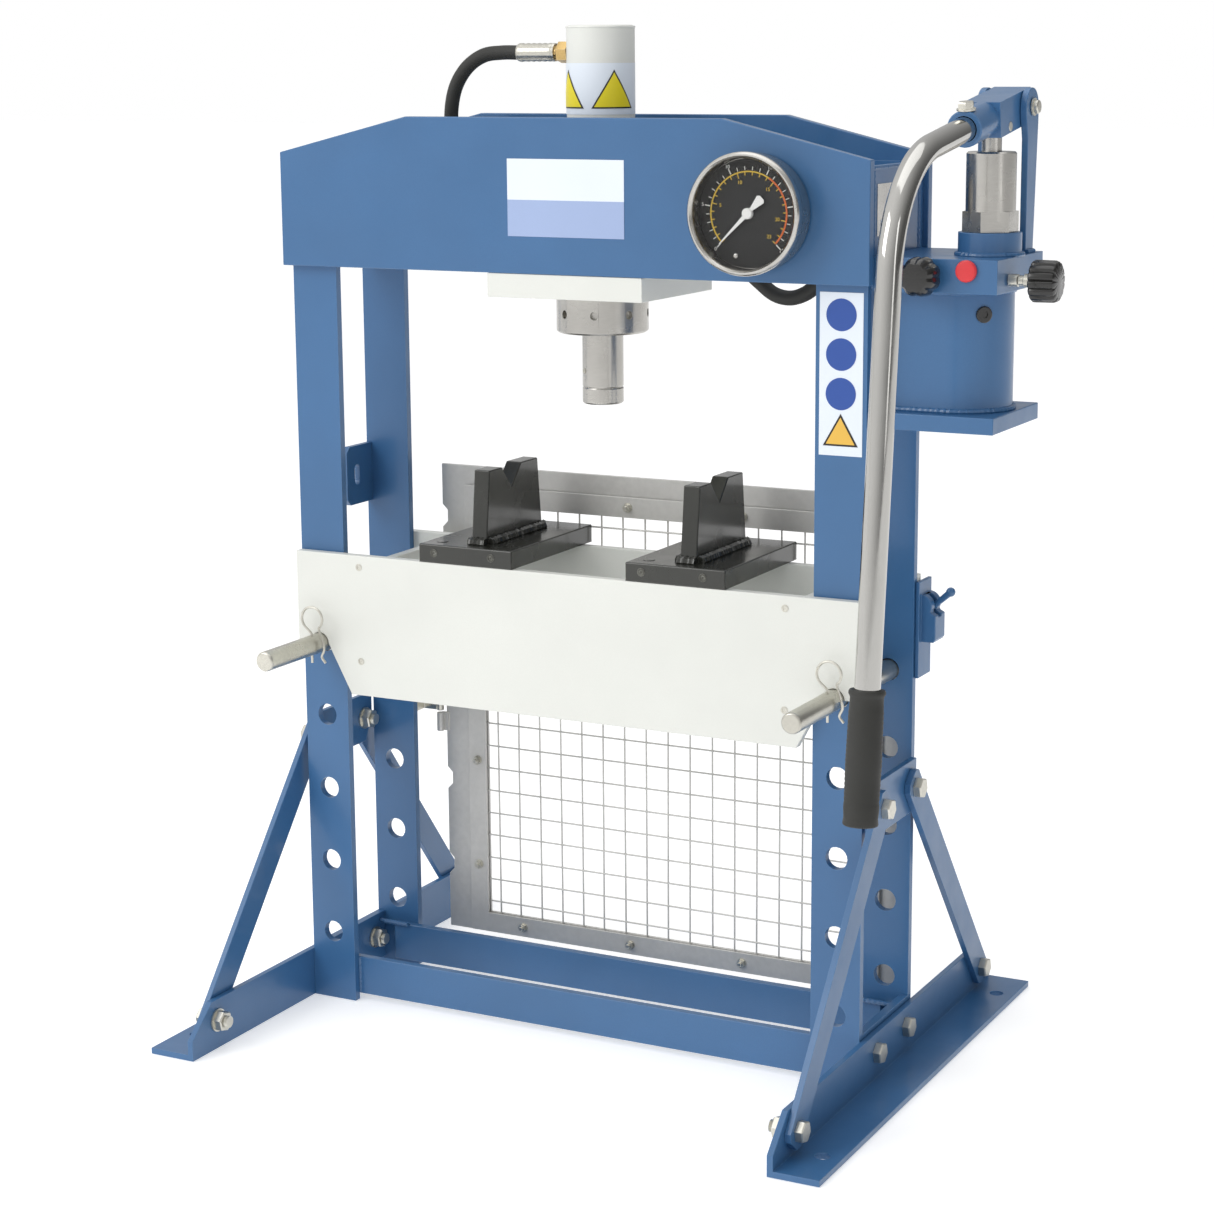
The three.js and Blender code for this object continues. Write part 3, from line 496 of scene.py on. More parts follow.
def make_looks():
    looks = {}
    # The paler edge colours given below are lighter copies of each colour: partly wear, partly a painted
    # highlight.
    looks["blue"] = ("blue_paint", finish("blue_enamel", BLUE_TONE, 0.36, 0.07, 900, 0.05,
                                          wear_and_highlight=WEAR_AND_HIGHLIGHT_BLUE, wear_and_highlight_amount=0.45, coat=0.25))
    looks["weld"] = ("blue_paint", finish("blue_weld", BLUE_TONE, 0.36, 0.14, 500, 0.12,
                                          wear_and_highlight=WEAR_AND_HIGHLIGHT_BLUE, wear_and_highlight_amount=0.3, coat=0.3))
    looks["white"] = ("white_paint", finish("white_enamel", (0.875, 0.88, 0.857), 0.42, 0.03, 900, 0.04,
                                            wear_and_highlight=(0.98, 0.98, 0.96), wear_and_highlight_amount=0.4, coat=0.15))
    looks["turned"] = ("machined_steel", finish("turned_steel", (0.73, 0.72, 0.70), 0.27, 0.14, 260, 0.03,
                                                metal=1.0, stretch=(0.4, 0.4, 9), wear_and_highlight=(0.9, 0.9, 0.88)))
    looks["bezel"] = ("machined_steel", finish("bezel_steel", (0.78, 0.77, 0.75), 0.24, 0.08, 420, 0.02,
                                               metal=1.0, stretch=(1, 4, 1), wear_and_highlight=(0.92, 0.92, 0.9)))
    looks["zinc"] = ("zinc", finish("zinc_plate", (0.80, 0.79, 0.75), 0.33, 0.16, 340, 0.05,
                                    metal=0.95, wear_and_highlight=(0.93, 0.93, 0.9)))
    looks["chrome"] = ("chrome", finish("chrome_tube", (0.74, 0.735, 0.72), 0.10, 0.05, 600, 0.015,
                                        metal=1.0, stretch=(2, 2, 0.15), waves=14))
    looks["galvanised"] = ("galvanised", finish("galvanised_sheet", (0.80, 0.795, 0.78), 0.42, 0.10,
                                                160, 0.04, metal=0.35, wear_and_highlight=(0.9, 0.9, 0.88),
                                                wear_and_highlight_amount=0.4))
    looks["black"] = ("black_oxide", finish("black_steel", (0.165, 0.168, 0.15), 0.24, 0.22, 240, 0.12,
                                            metal=0.25, stretch=(1, 1, 0.45), wear_and_highlight=(0.42, 0.42, 0.39),
                                            wear_and_highlight_amount=0.5, coat=0.5))
    looks["rubber"] = ("rubber", finish("black_rubber", (0.17, 0.17, 0.158), 0.62, 0.12, 800, 0.08,
                                        wear_and_highlight=(0.36, 0.36, 0.34), wear_and_highlight_amount=0.3))
    looks["fitting"] = ("brass", finish("plated_fitting", (0.78, 0.66, 0.44), 0.3, 0.12, 500, 0.04,
                                        metal=1.0, wear_and_highlight=(0.9, 0.88, 0.8)))
    looks["plastic"] = ("knob_plastic", finish("knob_plastic", (0.085, 0.08, 0.075), 0.26, 0.15, 900, 0.03,
                                               wear_and_highlight=(0.25, 0.24, 0.23), wear_and_highlight_amount=0.35, coat=0.4))
    looks["socket"] = ("black_oxide", finish("socket_steel", (0.30, 0.30, 0.28), 0.3, 0.2, 500, 0.04,
                                             metal=0.8, wear_and_highlight=(0.75, 0.75, 0.72)))
    looks["red"] = ("knob_plastic", finish("red_plastic", (0.86, 0.22, 0.24), 0.4, 0.08, 700, 0.04))
    looks["dial"] = ("dial", finish("dial_black", (0.055, 0.053, 0.05), 0.6, 0.1, 900, 0.01))
    looks["print_white"] = ("dial", finish("print_white", (0.93, 0.93, 0.91), 0.6, 0.03, 900, 0.01))
    looks["print_yellow"] = ("dial", finish("print_yellow", (0.88, 0.74, 0.22), 0.6, 0.05, 900, 0.01))
    looks["print_orange"] = ("dial", finish("print_orange", (0.86, 0.42, 0.16), 0.6, 0.05, 900, 0.01))
    looks["needle"] = ("needle", finish("needle_white", (0.95, 0.95, 0.94), 0.45, 0.03, 900, 0.01))
    looks["glass"] = ("glass", clear_glass())
    looks["label_white"] = ("white_paint", finish("label_white", (0.89, 0.92, 0.955), 0.35, 0.02, 900, 0.01))
    looks["label_blue"] = ("white_paint", finish("label_blue", (0.62, 0.69, 0.835), 0.35, 0.03, 900, 0.01))
    looks["sign_blue"] = ("blue_paint", finish("sign_blue", (0.16, 0.31, 0.62), 0.35, 0.04, 900, 0.01))
    looks["sign_amber"] = ("white_paint", finish("sign_amber", (0.90, 0.72, 0.30), 0.35, 0.04, 900, 0.01))
    looks["sign_yellow"] = ("white_paint", finish("sign_yellow", (0.93, 0.86, 0.10), 0.35, 0.04, 900, 0.01))
    looks["sign_black"] = ("dial", finish("sign_black", (0.13, 0.12, 0.11), 0.4, 0.06, 900, 0.01))
    return looks


# ------------------------------------------------------------------ structure

DRESSED = {
    "blue": ("beam_front_plate beam_rear_plate beam_end_plate_left beam_end_plate_right post_front_left "
             "post_front_right post_rear_left post_rear_right rail_front rail_rear tie_plate_left "
             "tie_plate_right gusset_left gusset_right brace_front_left brace_front_right brace_rear_left "
             "brace_rear_right foot_left foot_right slot_bracket pump_base_plate pump_tank pump_head_block "
             "fulcrum_strap_left fulcrum_strap_right handle_socket latch_housing latch_lever"),
    "white": "head_plate press_cylinder bed_plate_front bed_plate_rear bed_spacer_left bed_spacer_right",
    "turned": "ring_nut pump_cylinder pump_plunger ram",
    "zinc": "support_pin_left support_pin_right fulcrum_pin guard_hinge",
    "galvanised": "guard_frame guard_strip",
    "black": "v_block_left v_block_right",
}
# Edge bevels in millimetres.
PLAIN_EDGE = 0.8
FINE_EDGES = {"latch_lever": 0, "fulcrum_pin": 0.3, "guard_strip": 0.4, "guard_frame": 0.5,
              "v_block_left": 1.2, "v_block_right": 1.2, "pump_plunger": 0.4, "slot_bracket": 0.5}


def dress_plates():
    for look, nodes in DRESSED.items():
        for node in nodes.split():
            dress(node, looks[look], FINE_EDGES.get(node, PLAIN_EDGE))


# Rows of bolts: Y either side of the middle, Z, and X of the outer and inner steel faces.
FOOT_BOLTS = (38, 31, 311.3, 297)
BRACE_BOLTS = (238, 29, 317.6, 305.3)
GUSSET_BOLTS = (41, 272, 317.6, 305.3)
BOLT_FLATS = 18
HEAD_HEIGHT = 7.5
NUT_HEIGHT = 9
WASHER_RADIUS = 11.5
WASHER_THICK = 1.6
THREAD_RADIUS = 5.8
THREAD_STEP = 0.5
STEEL_GAP = 0.2


def add_structure_bolts():
    washer = [(0, 0), (WASHER_RADIUS, 0), (WASHER_RADIUS, WASHER_THICK), (0, WASHER_THICK)]
    ridges = [(THREAD_RADIUS - THREAD_STEP * (k % 2), 10.4 + THREAD_STEP * k) for k in range(9)]
    thread = [(0, 9)] + ridges + [(0, 15)]
    for side, label in ((-1, "left"), (1, "right")):
        outward = X_AXIS * side
        bolts = Build("frame_bolts_" + label)
        for reach, z, outer, inner in (FOOT_BOLTS, BRACE_BOLTS, GUSSET_BOLTS):
            for y in (-reach, reach):
                bolts.hexagon(at(side * (outer + STEEL_GAP), y, z), outward, BOLT_FLATS, HEAD_HEIGHT)
                face = at(side * (inner - STEEL_GAP), y, z)
                bolts.turn(washer, face, -outward, 32)
                nut = at(side * (inner - STEEL_GAP - WASHER_THICK), y, z)
                bolts.hexagon(nut, -outward, BOLT_FLATS, NUT_HEIGHT)
                bolts.turn(thread, face, -outward, 20)
        bolts.place(looks["zinc"])


# Upright beads: X, Y either side of the middle, low Z, high Z and bead radius.
RAIL_END_WELD = (254.5, 56.8, 7, 45, 2.6)
BEAM_END_WELD = (304.2, 56, 762, 858, 2.2)
# A level bead from front to back: X, half its length, Z and bead radius.
BEAM_TOP_WELD = (303, 54, 860, 2.4)
# Level beads from side to side: inner X, outer X, Y either side of the middle, Z and bead radius.
RAIL_TOP_WELD = (262, 296, 49, 46.5, 2.4)


def add_frame_welds():
    welds = Build("frame_welds")
    for side in (-1, 1):
        for x, reach, low, high, radius in (RAIL_END_WELD, BEAM_END_WELD):
            for y in (-reach, reach):
                welds.bead([at(side * x, y, low), at(side * x, y, high)], radius)
        x, reach, z, radius = BEAM_TOP_WELD
        welds.bead([at(side * x, -reach, z), at(side * x, reach, z)], radius)
        inner, outer, reach, z, radius = RAIL_TOP_WELD
        for y in (-reach, reach):
            welds.bead([at(side * inner, y, z), at(side * outer, y, z)], radius)
    welds.place(looks["weld"])


# ------------------------------------------------------------------ labels

PLATE_FRONT = -77
POST_FRONT = -66.7
LABEL_OUTER = 0.4
LABEL_INNER = 0.05
PANEL_X = (-54.8, 67.9)
STRIP_X = (259, 301)
STRIP_Z = (604, 751)
STRIP_MIDDLE = 280
DISC_HEIGHTS = (731, 695.5, 660)
DISC_RADIUS = 14.6
TRIANGLE_Z = 622.5
SIGN_THICK = 0.2


def add_label(name, look, x_span, front, z_span):
    """Flat label just clear of the steel behind it."""
    label = Build(name)
    label.block((x_span[0], front - LABEL_OUTER, z_span[0]), (x_span[1], front - LABEL_INNER, z_span[1]))
    label.place(looks[look])


def add_panels():
    add_label("beam_panel_top", "label_white", PANEL_X, PLATE_FRONT, (827, 865))
    add_label("beam_panel_low", "label_blue", PANEL_X, PLATE_FRONT, (793, 827))


def add_safety_strip():
    add_label("safety_strip", "label_white", STRIP_X, POST_FRONT, STRIP_Z)
    discs = Build("safety_discs")
    disc = [(0, 0), (DISC_RADIUS, 0), (DISC_RADIUS, SIGN_THICK), (0, SIGN_THICK)]
    for z in DISC_HEIGHTS:
        discs.turn(disc, at(STRIP_MIDDLE, POST_FRONT - 0.45, z), -Y_AXIS, 48)
    discs.place(looks["sign_blue"])
    for name, look, half, clear in (("safety_triangle_edge", "sign_black", 17, 0.45),
                                    ("safety_triangle", "sign_amber", 14, 0.7)):
        triangle = Build(name)
        rise = half * math.sqrt(3)
        foot = TRIANGLE_Z - rise / 3
        rings = []
        for y in (POST_FRONT - clear, POST_FRONT - clear - SIGN_THICK):
            rings.append([at(STRIP_MIDDLE - half, y, foot), at(STRIP_MIDDLE + half, y, foot),
                          at(STRIP_MIDDLE, y, TRIANGLE_Z + rise * 2 / 3)])
        triangle.loft(rings)
        triangle.place(looks[look])


RAM_AT = (3, 3)
CYLINDER_RADIUS = 32.5
LABEL_RADIUS = CYLINDER_RADIUS + 0.2
WRAP_STEPS = 16
WRAP_THICK = 0.15
CYLINDER_LABEL = [(904.5, 60), (952, 60)]
CYLINDER_LABEL_FACING = math.radians(-85)
CYLINDER_SIGN_Z = 922
CYLINDER_SIGN_FACINGS = (-130, -40)
CYLINDER_SIGN_ROWS = 12


def wrap(build, rows, radius, centre_angle):
    """Curved patch on the cylinder; each row is (height, half width in mm)."""
    layers = []
    for lift in (0, WRAP_THICK):
        layer = []
        for height, half in rows:
            row = []
            for i in range(WRAP_STEPS + 1):
                angle = centre_angle + (2 * i / WRAP_STEPS - 1) * half / radius
                reach = radius + lift
                x = RAM_AT[0] + reach * math.cos(angle)
                y = RAM_AT[1] + reach * math.sin(angle)
                row.append(build.mesh.verts.new(at(x, y, height)))
            layer.append(row)
        layers.append(layer)
    inner, outer = layers
    for r in range(len(rows) - 1):
        for i in range(WRAP_STEPS):
            for layer in layers:
                build.face([layer[r][i], layer[r][i + 1], layer[r + 1][i + 1], layer[r + 1][i]])
        for i in (0, WRAP_STEPS):
            build.face([inner[r][i], inner[r + 1][i], outer[r + 1][i], outer[r][i]])
    for r in (0, len(rows) - 1):
        for i in range(WRAP_STEPS):
            build.face([inner[r][i], inner[r][i + 1], outer[r][i + 1], outer[r][i]])


def add_cylinder_label():
    base = Build("cylinder_label")
    wrap(base, CYLINDER_LABEL, LABEL_RADIUS, CYLINDER_LABEL_FACING)
    base.place(looks["label_white"])
    for number, facing in enumerate(CYLINDER_SIGN_FACINGS):
        for name, look, half, lift in (("edge", "sign_black", 22, 0.2), ("face", "sign_yellow", 19.5, 0.4)):
            build = Build(f"cylinder_sign_{name}_{number}")
            rise = half * 1.62
            low = CYLINDER_SIGN_Z - rise / 3
            rows = []
            for k in range(CYLINDER_SIGN_ROWS + 1):
                share = k / CYLINDER_SIGN_ROWS
                rows.append((low + rise * share, max(0.2, half * (1 - share))))
            wrap(build, rows, LABEL_RADIUS + lift, math.radians(facing))
            build.place(looks[look])


def add_rating_plate():
    plate = Build("rating_plate")
    plate.block((305.05, -48, 800), (305.6, -4, 846))
    plate.place(looks["bezel"])
    sticker = Build("rating_sticker")
    sticker.block((305.65, -40, 803), (305.9, -12, 814))
    sticker.place(looks["label_white"])


# ------------------------------------------------------------------ press head and gauge

RAM_SCREW_Z = 661
RAM_SCREW_FACING = Vector((-0.6, -0.8, 0))
RAM_SCREW_REACH = 19.9
# The cylinder's rounded seams: height and how far they stand out.
CYLINDER_SEAMS = ((760.5, 0.3), (985.2, -0.2))


def add_head_details():
    screw = Build("ram_stop_screw")
    centre = at(*RAM_AT, RAM_SCREW_Z) + RAM_SCREW_FACING * RAM_SCREW_REACH * MM
    profile = [(0, -1), (2.6, -1), (2.6, 0.6), (1.4, 0.6), (1.2, -0.2), (0, -0.2)]
    screw.turn(profile, centre, RAM_SCREW_FACING, 20)
    screw.place(looks["zinc"], "ram")
    lips = Build("cylinder_seams")
    for z, proud in CYLINDER_SEAMS:
        ring = circle(at(*RAM_AT, z), CYLINDER_RADIUS + proud, Z_AXIS, 64)
        lips.sweep(ring, 0.9, 8, loop=True)
    lips.place(looks["white"])


GAUGE_AT = (201, 820.5)
DIAL_Y = -94.2
HAND_Y = -97
DIAL_SWEEP = 270
PRINT_LIFT = Y_AXIS * -0.2 * MM
NUMBER_SIZE = 4.6
NUMBER_THICK = 0.1
OUTER_SCALE = 25
INNER_SCALE = 23
LONG_MARK_EVERY = 5
LIMIT_SHARE = 0.62


def on_dial(turn, radius, y):
    """Point on the dial at a share of the scale, 0 lower left to 1 lower right."""
    angle = math.radians(225 - DIAL_SWEEP * turn)
    return at(GAUGE_AT[0] + radius * math.cos(angle), y, GAUGE_AT[1] + radius * math.sin(angle))


def dial_mark(build, turn, inner, outer, width):
    start = on_dial(turn, inner, DIAL_Y)
    end = on_dial(turn, outer, DIAL_Y)
    across = (end - start).normalized().cross(Y_AXIS) * width * MM / 2
    ring = [start - across, start + across, end + across, end - across]
    build.loft([ring, [point + PRINT_LIFT for point in ring]])


def dial_arc(build, first, last, inner, outer):
    steps = max(4, round((last - first) * 80))
    rings = []
    for i in range(steps + 1):
        turn = first + (last - first) * i / steps
        low = on_dial(turn, inner, DIAL_Y)
        high = on_dial(turn, outer, DIAL_Y)
        rings.append([low, high, high + PRINT_LIFT, low + PRINT_LIFT])
    build.loft(rings)


def dial_number(build, value, turn, radius):
    curve = bpy.data.curves.new("number", "FONT")
    curve.body = str(value)
    curve.size = NUMBER_SIZE * MM
    curve.align_x = "CENTER"
    curve.align_y = "CENTER"
    curve.extrude = NUMBER_THICK * MM
    source = bpy.data.objects.new("number", curve)
    bpy.context.scene.collection.objects.link(source)
    bpy.context.view_layer.update()
    data = bpy.data.meshes.new_from_object(source)
    spot = Matrix.Translation(on_dial(turn, radius, DIAL_Y - NUMBER_THICK))
    data.transform(spot @ Matrix.Rotation(math.pi / 2, 4, "X"))
    build.mesh.from_mesh(data)
    bpy.data.objects.remove(source)
    bpy.data.meshes.remove(data)


def add_gauge():
    centre = at(GAUGE_AT[0], 0, GAUGE_AT[1])
    case = Build("gauge_body")
    case.turn([(0, -77.4), (50, -77.4), (53, -79), (53.5, -82), (53.5, -97.5), (54.4, -98), (55, -99.2),
               (55, -106), (54.2, -108.6), (52.6, -109.9), (51.4, -109.9), (50.4, -108.6), (49.3, -107.4),
               (49, -106), (49, -92.2), (0, -92.2)], centre, Y_AXIS, 96)
    case.place(looks["bezel"], replaces=["gauge_case"])
    face = Build("gauge_face")
    face.turn([(0, -92.4), (48.6, -92.4), (48.6, -94), (0, -94)], centre, Y_AXIS, 72)
    face.place(looks["dial"], replaces=["gauge_dial"])
    glass = Build("gauge_window")
    glass.turn([(0, -105), (48.8, -105), (48.8, -106), (24, -106.6), (0, -106.8)], centre, Y_AXIS, 72)
    glass.place(looks["glass"], replaces=["gauge_glass"])

    white = Build("gauge_scale")
    for i in range(OUTER_SCALE + 1):
        far, width = (41.6, 0.6) if i % LONG_MARK_EVERY else (43.4, 0.9)
        dial_mark(white, i / OUTER_SCALE, 38.2, far, width)
    for value in range(0, OUTER_SCALE + 1, LONG_MARK_EVERY):
        dial_number(white, value, value / OUTER_SCALE, 45.6)
    white.place(looks["print_white"])
    yellow = Build("gauge_inner_scale")
    dial_arc(yellow, 0, LIMIT_SHARE, 36.4, 37.6)
    for i in range(INNER_SCALE + 1):
        near = 33.6 if i % LONG_MARK_EVERY else 32
        dial_mark(yellow, i / INNER_SCALE, near, 36.6, 0.8)
    for value in (5, 10, 15, 20, INNER_SCALE):
        dial_number(yellow, value, value / INNER_SCALE, 28.4)
    yellow.place(looks["print_yellow"])
    orange = Build("gauge_limit_arc")
    dial_arc(orange, LIMIT_SHARE, 1.0, 36.2, 37.8)
    orange.place(looks["print_orange"])

    needle = Build("gauge_hand")
    spindle = on_dial(0, 0, HAND_Y)
    direction = (on_dial(0, 1, HAND_Y) - spindle).normalized()
    across = direction.cross(Y_AXIS)
    lift = Y_AXIS * 0.4 * MM
    rings = []
    for reach, half in ((-20, 2.6), (-18, 4.6), (-6, 1.7), (0, 2.2), (8, 1.7), (39, 0.35)):
        spot = spindle + direction * reach * MM
        left = spot - across * half * MM
        right = spot + across * half * MM
        rings.append([left - lift, right - lift, right + lift, left + lift])
    needle.loft(rings)
    needle.turn([(0, -94.8), (5, -94.8), (5, -98), (4.2, -98.8), (0, -98.8)], centre, Y_AXIS, 32)
    needle.place(looks["needle"], "needle", ["gauge_needle"])
    screw = Build("gauge_screw")
    screw.turn([(0, 0), (2.2, 0), (2.2, 0.6), (1.6, 1), (0, 1)], on_dial(-0.1, 40, DIAL_Y), -Y_AXIS, 20)
    screw.place(looks["bezel"])


# ------------------------------------------------------------------ hose

FITTING_Z = 962
HOSE_RADIUS = 6.9
HOSE_ROUTE = [
    (-86, 3, FITTING_Z), (-104, 3, FITTING_Z), (-124, 3, 959.5), (-142, 3, 949), (-155, 3, 932),
    (-161, 3, 912), (-162, 3, 890), (-155, -6, 862), (-132, -26, 836), (-90, -46, 818),
    (-30, -51, 808), (30, -51, 803), (90, -48, 800), (132, -40, 791), (160, -33, 774),
    (182, -30, 755), (198, -30, 743.5), (214, -30, 740.5), (229, -30, 745), (243, -30, 755),
    (258, -30, 764), (276, -30, 768), (304, -30, 768),
]


def add_hose():
    hose = Build("hose")
    hose.sweep(smooth([at(*point) for point in HOSE_ROUTE], 8), HOSE_RADIUS, 20)
    hose.place(looks["rubber"], replaces=["pressure_hose"])
    start = RAM_AT[0] - CYLINDER_RADIUS
    centre = at(start, RAM_AT[1], FITTING_Z)
    nut = Build("hose_nut")
    nut.turn([(0, 0.2), (10.2, 0.2), (10.4, 1), (10.4, 11), (9.4, 12), (0, 12)], centre, -X_AXIS, 6)
    nut.turn([(0, 11.6), (6.6, 11.6), (6.6, 15), (0, 15)], centre, -X_AXIS, 40)
    nut.place(looks["fitting"], replaces=["hose_fitting"])
    ferrule = Build("hose_ferrule")
    crimps = [(8.9 if k % 2 else 8.3, 18 + 3 * k) for k in range(12)]
    profile = [(0, 14.8), (8.4, 14.8), (8.8, 17)] + crimps + [(8.8, 54), (8, 55.6), (7.4, 56), (0, 56)]
    ferrule.turn(profile, centre, -X_AXIS, 40)
    ferrule.place(looks["zinc"])


# ------------------------------------------------------------------ bed and pins

PIN_X = 280
PIN_Z = 380
CLIP_Y = -91
BED_FRONT = -77
VBLOCK_CENTRES = {"left": -108.5, "right": 118.5}
VBLOCK_FLOOR = 473
VBLOCK_PLATE = 18
VBLOCK_SCREW_Z = VBLOCK_FLOOR + 9.5
CLIP_WIRE = 1.3
CLIP_STEPS = 18
BED_SCREW_X = 231
BED_SCREW_HEIGHTS = (461, 365)
BED_SCREW_RADIUS = 3.6


def add_clips():
    arc = []
    for i in range(CLIP_STEPS + 1):
        angle = math.radians(230 - 280 * i / CLIP_STEPS)
        arc.append((1 + 12 * math.cos(angle), 27 + 12 * math.sin(angle)))
    leg = [(0, -18), (0, -12), (0, -4), (0, 4), (0, 11.5)]
    tail = [(10.5, 12), (13.6, 3), (14.4, -4), (11.6, -11), (16, -17)]
    for side, label in ((-1, "left"), (1, "right")):
        clip = Build("clip_wire_" + label)
        points = [at(side * PIN_X + x, CLIP_Y, PIN_Z + z) for x, z in leg + arc + tail]
        clip.sweep(smooth(points, 3), CLIP_WIRE, 10)
        clip.place(looks["zinc"], "clip_" + label, ["r_clip_" + label])


def socket_screw(build, centre, axis, radius):
    """Flush socket screw: a raised rim round a sunk middle."""
    build.turn([(0, 0), (radius, 0), (radius, 0.4), (radius * 0.86, 0.6), (radius * 0.55, 0.6),
                (radius * 0.5, 0.1), (0, 0.1)], centre, axis, 28)


def add_bed_details():
    screws = Build("bed_screws")
    for side in (-1, 1):
        for z in BED_SCREW_HEIGHTS:
            socket_screw(screws, at(side * BED_SCREW_X, BED_FRONT, z), -Y_AXIS, BED_SCREW_RADIUS)
            socket_screw(screws, at(side * BED_SCREW_X, -BED_FRONT, z), Y_AXIS, BED_SCREW_RADIUS)
    screws.place(looks["zinc"], "bed")


def add_vblock_details():
    top = VBLOCK_FLOOR + VBLOCK_PLATE
    for label, centre in VBLOCK_CENTRES.items():
        body = "v_" + label
        sockets = Build("v_block_screws_" + label)
        for x in (-35, 29):
            socket_screw(sockets, at(centre + x, BED_FRONT, VBLOCK_SCREW_Z), -Y_AXIS, 4)
        sockets.place(looks["socket"], body)
        welds = Build("v_block_welds_" + label)
        for x in (-6.2, 14.2):
            welds.bead([at(centre + x, -53, top + 1.2), at(centre + x, 55, top + 1.2)], 5.2)
        for y in (-57.5, 58.5):
            welds.bead([at(centre - 5, y, top + 1), at(centre + 13, y, top + 1)], 5.6)
        for y in (-58, 62):
            welds.turn([(0, -0.4), (6, -0.4), (5.6, 0.5), (0, 0.7)], at(centre - 36, y, top), Z_AXIS, 28)
        welds.place(looks["black"], body)


# ------------------------------------------------------------------ pump

PLUNGER_X = 394
HANDLE_TILT = math.radians(8.6)
# The fulcrum's Y and Z.
FULCRUM = (40, 912)
# The tank's flat side X, the X its round end is struck from, and its radius.
TANK = (305.5, 370, 46)
TANK_STEPS = 24
# Beads round the tank: how far out from it, Z and bead radius.
TANK_WELDS = ((0.5, 646.5, 2.6), (0.2, 751.6, 1.8))
HEAD_TOP = 784
BOSS_RADIUS = 29
STRAP_X = 24.4


def on_handle(x, y, z):
    """Point given in the tilted handle's own X, Y and Z, from the fulcrum."""
    turned_y = y * math.cos(HANDLE_TILT) - z * math.sin(HANDLE_TILT)
    turned_z = y * math.sin(HANDLE_TILT) + z * math.cos(HANDLE_TILT)
    return at(PLUNGER_X + x, FULCRUM[0] + turned_y, FULCRUM[1] + turned_z)


HANDLE_UP = Vector((0, -math.sin(HANDLE_TILT), math.cos(HANDLE_TILT)))
LEVER_RADIUS = 11
LEVER_START = -70
LEVER_CORNER = -277.5
LEVER_BEND = 110
LEVER_TURN = math.radians(75.3)
LEVER_END = 536
LEVER_BEND_STEPS = 40
GRIP_LENGTH = 109
GRIP_RIBS = 40


def lever_route():
    tangent = LEVER_BEND * math.tan(LEVER_TURN / 2)
    bend_start = LEVER_CORNER + tangent
    local = [(LEVER_START, 0)]
    for i in range(LEVER_BEND_STEPS + 1):
        angle = LEVER_TURN * i / LEVER_BEND_STEPS
        local.append((bend_start - LEVER_BEND * math.sin(angle), -LEVER_BEND * (1 - math.cos(angle))))
    remaining = LEVER_END - tangent
    end = (local[-1][0] - remaining * math.cos(LEVER_TURN), local[-1][1] - remaining * math.sin(LEVER_TURN))
    return [on_handle(0, y, z) for y, z in local + [end]]


def add_lever():
    route = lever_route()
    lever = Build("lever_tube")
    lever.sweep(route, LEVER_RADIUS, 40)
    lever.place(looks["chrome"], "handle", ["pump_lever"])
    grip = Build("lever_handle")
    up = (route[-2] - route[-1]).normalized()
    ribs = []
    for k in range(GRIP_RIBS):
        height = 14 + 2 * k
        swell = 15.35 - 1.1 * abs(k / (GRIP_RIBS - 1) - 0.45)
        ribs.append((swell - (0.35 if k % 2 else 0), height))
    grip.turn([(0, -5), (13, -5), (14.6, -4.2), (15, -3), (14.4, 2), (15, 10)] + ribs
              + [(14.2, 97), (14, 102), (14.6, 104), (15.5, 105.4), (15.5, 107.4), (14.6, GRIP_LENGTH),
                 (LEVER_RADIUS + 0.1, GRIP_LENGTH), (LEVER_RADIUS + 0.1, 100), (0, 100)],
              route[-1], up, 56)
    grip.place(looks["rubber"], "handle", ["lever_grip"])


def add_handle_details():
    bolt = Build("clamp_bolt")
    base = on_handle(0, -107, 15.4)
    bolt.turn([(0, 0), (8.4, 0), (8.4, 1.6), (0, 1.6)], base, HANDLE_UP, 32)
    bolt.hexagon(base + HANDLE_UP * 1.4 * MM, HANDLE_UP, 13, 6)
    bolt.place(looks["zinc"], "handle")
    pin = Build("plunger_pin")
    pin.rod(on_handle(-17.6, -42.5, -10), on_handle(17.6, -42.5, -10), 4.3)
    pin.place(looks["zinc"], "handle")
    rings = Build("fulcrum_washers")
    washer = [(5.2, 0), (8, 0), (8, 1.2), (5.2, 1.2)]
    for x in (24.4, -26.2):
        rings.turn(washer, at(PLUNGER_X + x, *FULCRUM), X_AXIS, 32, loop=True)
    rings.place(looks["zinc"])


def tank_outline(grow, z):
    """The tank's outline at height z, grown outwards by grow."""
    left, arc_x, radius = TANK
    radius += grow
    points = [at(left, -radius, z)]
    for i in range(TANK_STEPS + 1):
        angle = -math.pi / 2 + math.pi * i / TANK_STEPS
        points.append(at(arc_x + radius * math.cos(angle), radius * math.sin(angle), z))
    points.append(at(left, radius, z))
    return points


